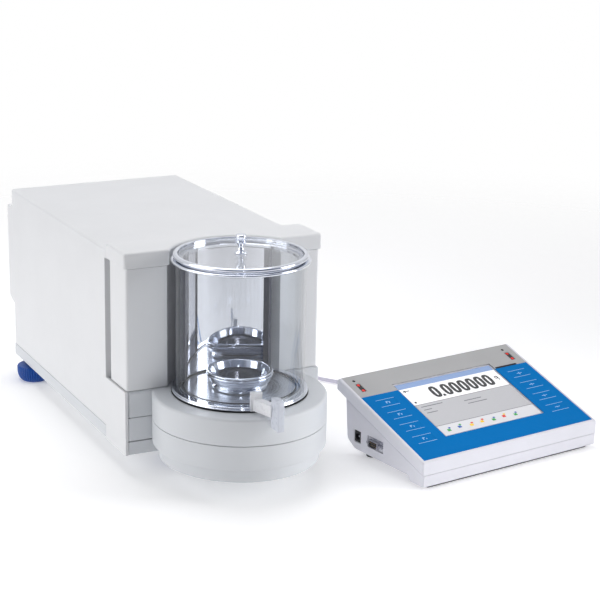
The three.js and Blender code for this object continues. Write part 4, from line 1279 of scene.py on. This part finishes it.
def softbox(name, location, target, width, height, power, spread=180, color=(1, 1, 1)):
    """A rectangular lamp aimed at a point. Places in metres from the chamber's axis at bench level."""
    data = bpy.data.lights.new(name, "AREA")
    data.shape = "RECTANGLE"
    data.size = width
    data.size_y = height
    data.energy = power
    data.color = color
    data.spread = math.radians(spread)
    lamp = bpy.data.objects.new(name, data)
    lamp.location = AXIS + Vector(location)
    aim = Vector(target) - Vector(location)
    lamp.rotation_euler = aim.to_track_quat("-Z", "Y").to_euler()
    lamp.visible_camera = False
    bpy.context.scene.collection.objects.link(lamp)


def ramp_node(tree, factor, stops):
    ramp = tree.nodes.new("ShaderNodeValToRGB")
    elements = ramp.color_ramp.elements
    while len(elements) < len(stops):
        elements.new(0.5)
    for element, (position, color) in zip(elements, stops):
        element.position = position
        element.color = (*color, 1)
    tree.links.new(factor, ramp.inputs[0])
    return ramp.outputs[0]


def studio():
    """White to the camera; for light and reflections a room that is dark in front and pale behind."""
    world = bpy.data.worlds.new("studio")
    bpy.context.scene.world = world
    world.use_nodes = True
    tree = world.node_tree
    white = tree.nodes["Background"]
    white.inputs["Color"].default_value = (1, 1, 1, 1)
    white.inputs["Strength"].default_value = 1.0
    coordinates = tree.nodes.new("ShaderNodeTexCoord")
    split = tree.nodes.new("ShaderNodeSeparateXYZ")
    tree.links.new(coordinates.outputs["Generated"], split.inputs[0])
    x, y, _ = split.outputs
    rearwards = math_node(tree, "ADD", math_node(tree, "MULTIPLY", y, 0.5), 0.5)
    across = math_node(tree, "MULTIPLY", x, 0.27)
    back = math_node(tree, "MULTIPLY", y, 0.42)
    back_right = math_node(tree, "ADD", back, math_node(tree, "ADD", across, 0.5))
    light_color = ramp_node(tree, back_right, ROOM_LIGHT)
    room = tree.nodes.new("ShaderNodeBackground")
    tree.links.new(light_color, room.inputs["Color"])

    bearing = math_node(tree, "ARCTAN2", x, y)
    streak_place = tree.nodes.new("ShaderNodeCombineXYZ")
    tree.links.new(math_node(tree, "SINE", bearing), streak_place.inputs[0])
    tree.links.new(math_node(tree, "COSINE", bearing), streak_place.inputs[1])
    streaks = noise(tree, streak_place.outputs[0], 5.0, 0.6, 1.1, 2)
    seen_color = ramp_node(tree, rearwards, ROOM_SEEN)
    seen = tree.nodes.new("ShaderNodeBackground")
    tree.links.new(seen_color, seen.inputs["Color"])
    tree.links.new(streaks, seen.inputs["Strength"])

    path = tree.nodes.new("ShaderNodeLightPath")
    by_gloss = tree.nodes.new("ShaderNodeMixShader")
    tree.links.new(path.outputs["Is Glossy Ray"], by_gloss.inputs[0])
    tree.links.new(room.outputs[0], by_gloss.inputs[1])
    tree.links.new(seen.outputs[0], by_gloss.inputs[2])
    by_camera = tree.nodes.new("ShaderNodeMixShader")
    tree.links.new(path.outputs["Is Camera Ray"], by_camera.inputs[0])
    tree.links.new(by_gloss.outputs[0], by_camera.inputs[1])
    tree.links.new(white.outputs[0], by_camera.inputs[2])
    tree.links.new(by_camera.outputs[0], tree.nodes["World Output"].inputs["Surface"])


def at_photo_view_only(camera, path, value):
    """Lens shift that holds at the main viewpoint and is zero when the camera is moved elsewhere."""
    driver = camera.data.driver_add(path).driver
    place = driver.variables.new()
    place.name = "x"
    place.type = "TRANSFORMS"
    place.targets[0].id = camera
    place.targets[0].transform_type = "LOC_X"
    driver.type = "SCRIPTED"
    driver.expression = f"{value} if abs(x - ({camera.location.x:.6f})) < 0.0001 else 0"


def camera():
    yaw = 0.40512
    pitch = 0.26535
    data = bpy.data.cameras.new("camera")
    data.sensor_width = 36
    data.lens = 98.606
    data.clip_end = 20
    made = bpy.data.objects.new("camera", data)
    made.location = AXIS + Vector((-0.51557, -1.09217, 0.48595))
    made.rotation_euler = (math.pi / 2 - pitch, 0, -yaw)
    bpy.context.scene.collection.objects.link(made)
    bpy.context.scene.camera = made
    at_photo_view_only(made, "shift_x", 0.19405)
    at_photo_view_only(made, "shift_y", -0.03568)


# Room colours from the front (0) to the back (1): for light, and as seen in reflections.
ROOM_LIGHT = [(0.0, (0.08, 0.08, 0.085)), (0.35, (0.12, 0.12, 0.125)), (0.7, (0.5, 0.5, 0.515))]
ROOM_SEEN = [
    (0.0, (0.18, 0.21, 0.29)), (0.16, (0.20, 0.23, 0.31)),
    (0.3, (0.55, 0.58, 0.66)), (0.6, (0.9, 0.91, 0.94)),
]

floor()
studio()
softbox("left_softbox", (-1.5, 0.2, 0.7), (0, 0.1, 0.1), 1.3, 1.3, 12.0)
softbox("top_softbox", (0.1, 0.6, 1.8), (0, 0.1, 0), 1.4, 1.4, 16.0)
softbox("right_softbox", (0.76, -0.43, 0.33), (0.06, 0, 0.1), 0.42, 0.6, 0.78, 66)
softbox("terminal_fill", (-0.2, -0.75, 0.28), (0.17, -0.02, 0.03), 0.2, 0.2, 0.036, 22)
camera()
bpy.context.scene.cycles.transparent_max_bounces = 32
bpy.context.scene.view_settings.view_transform = "Standard"
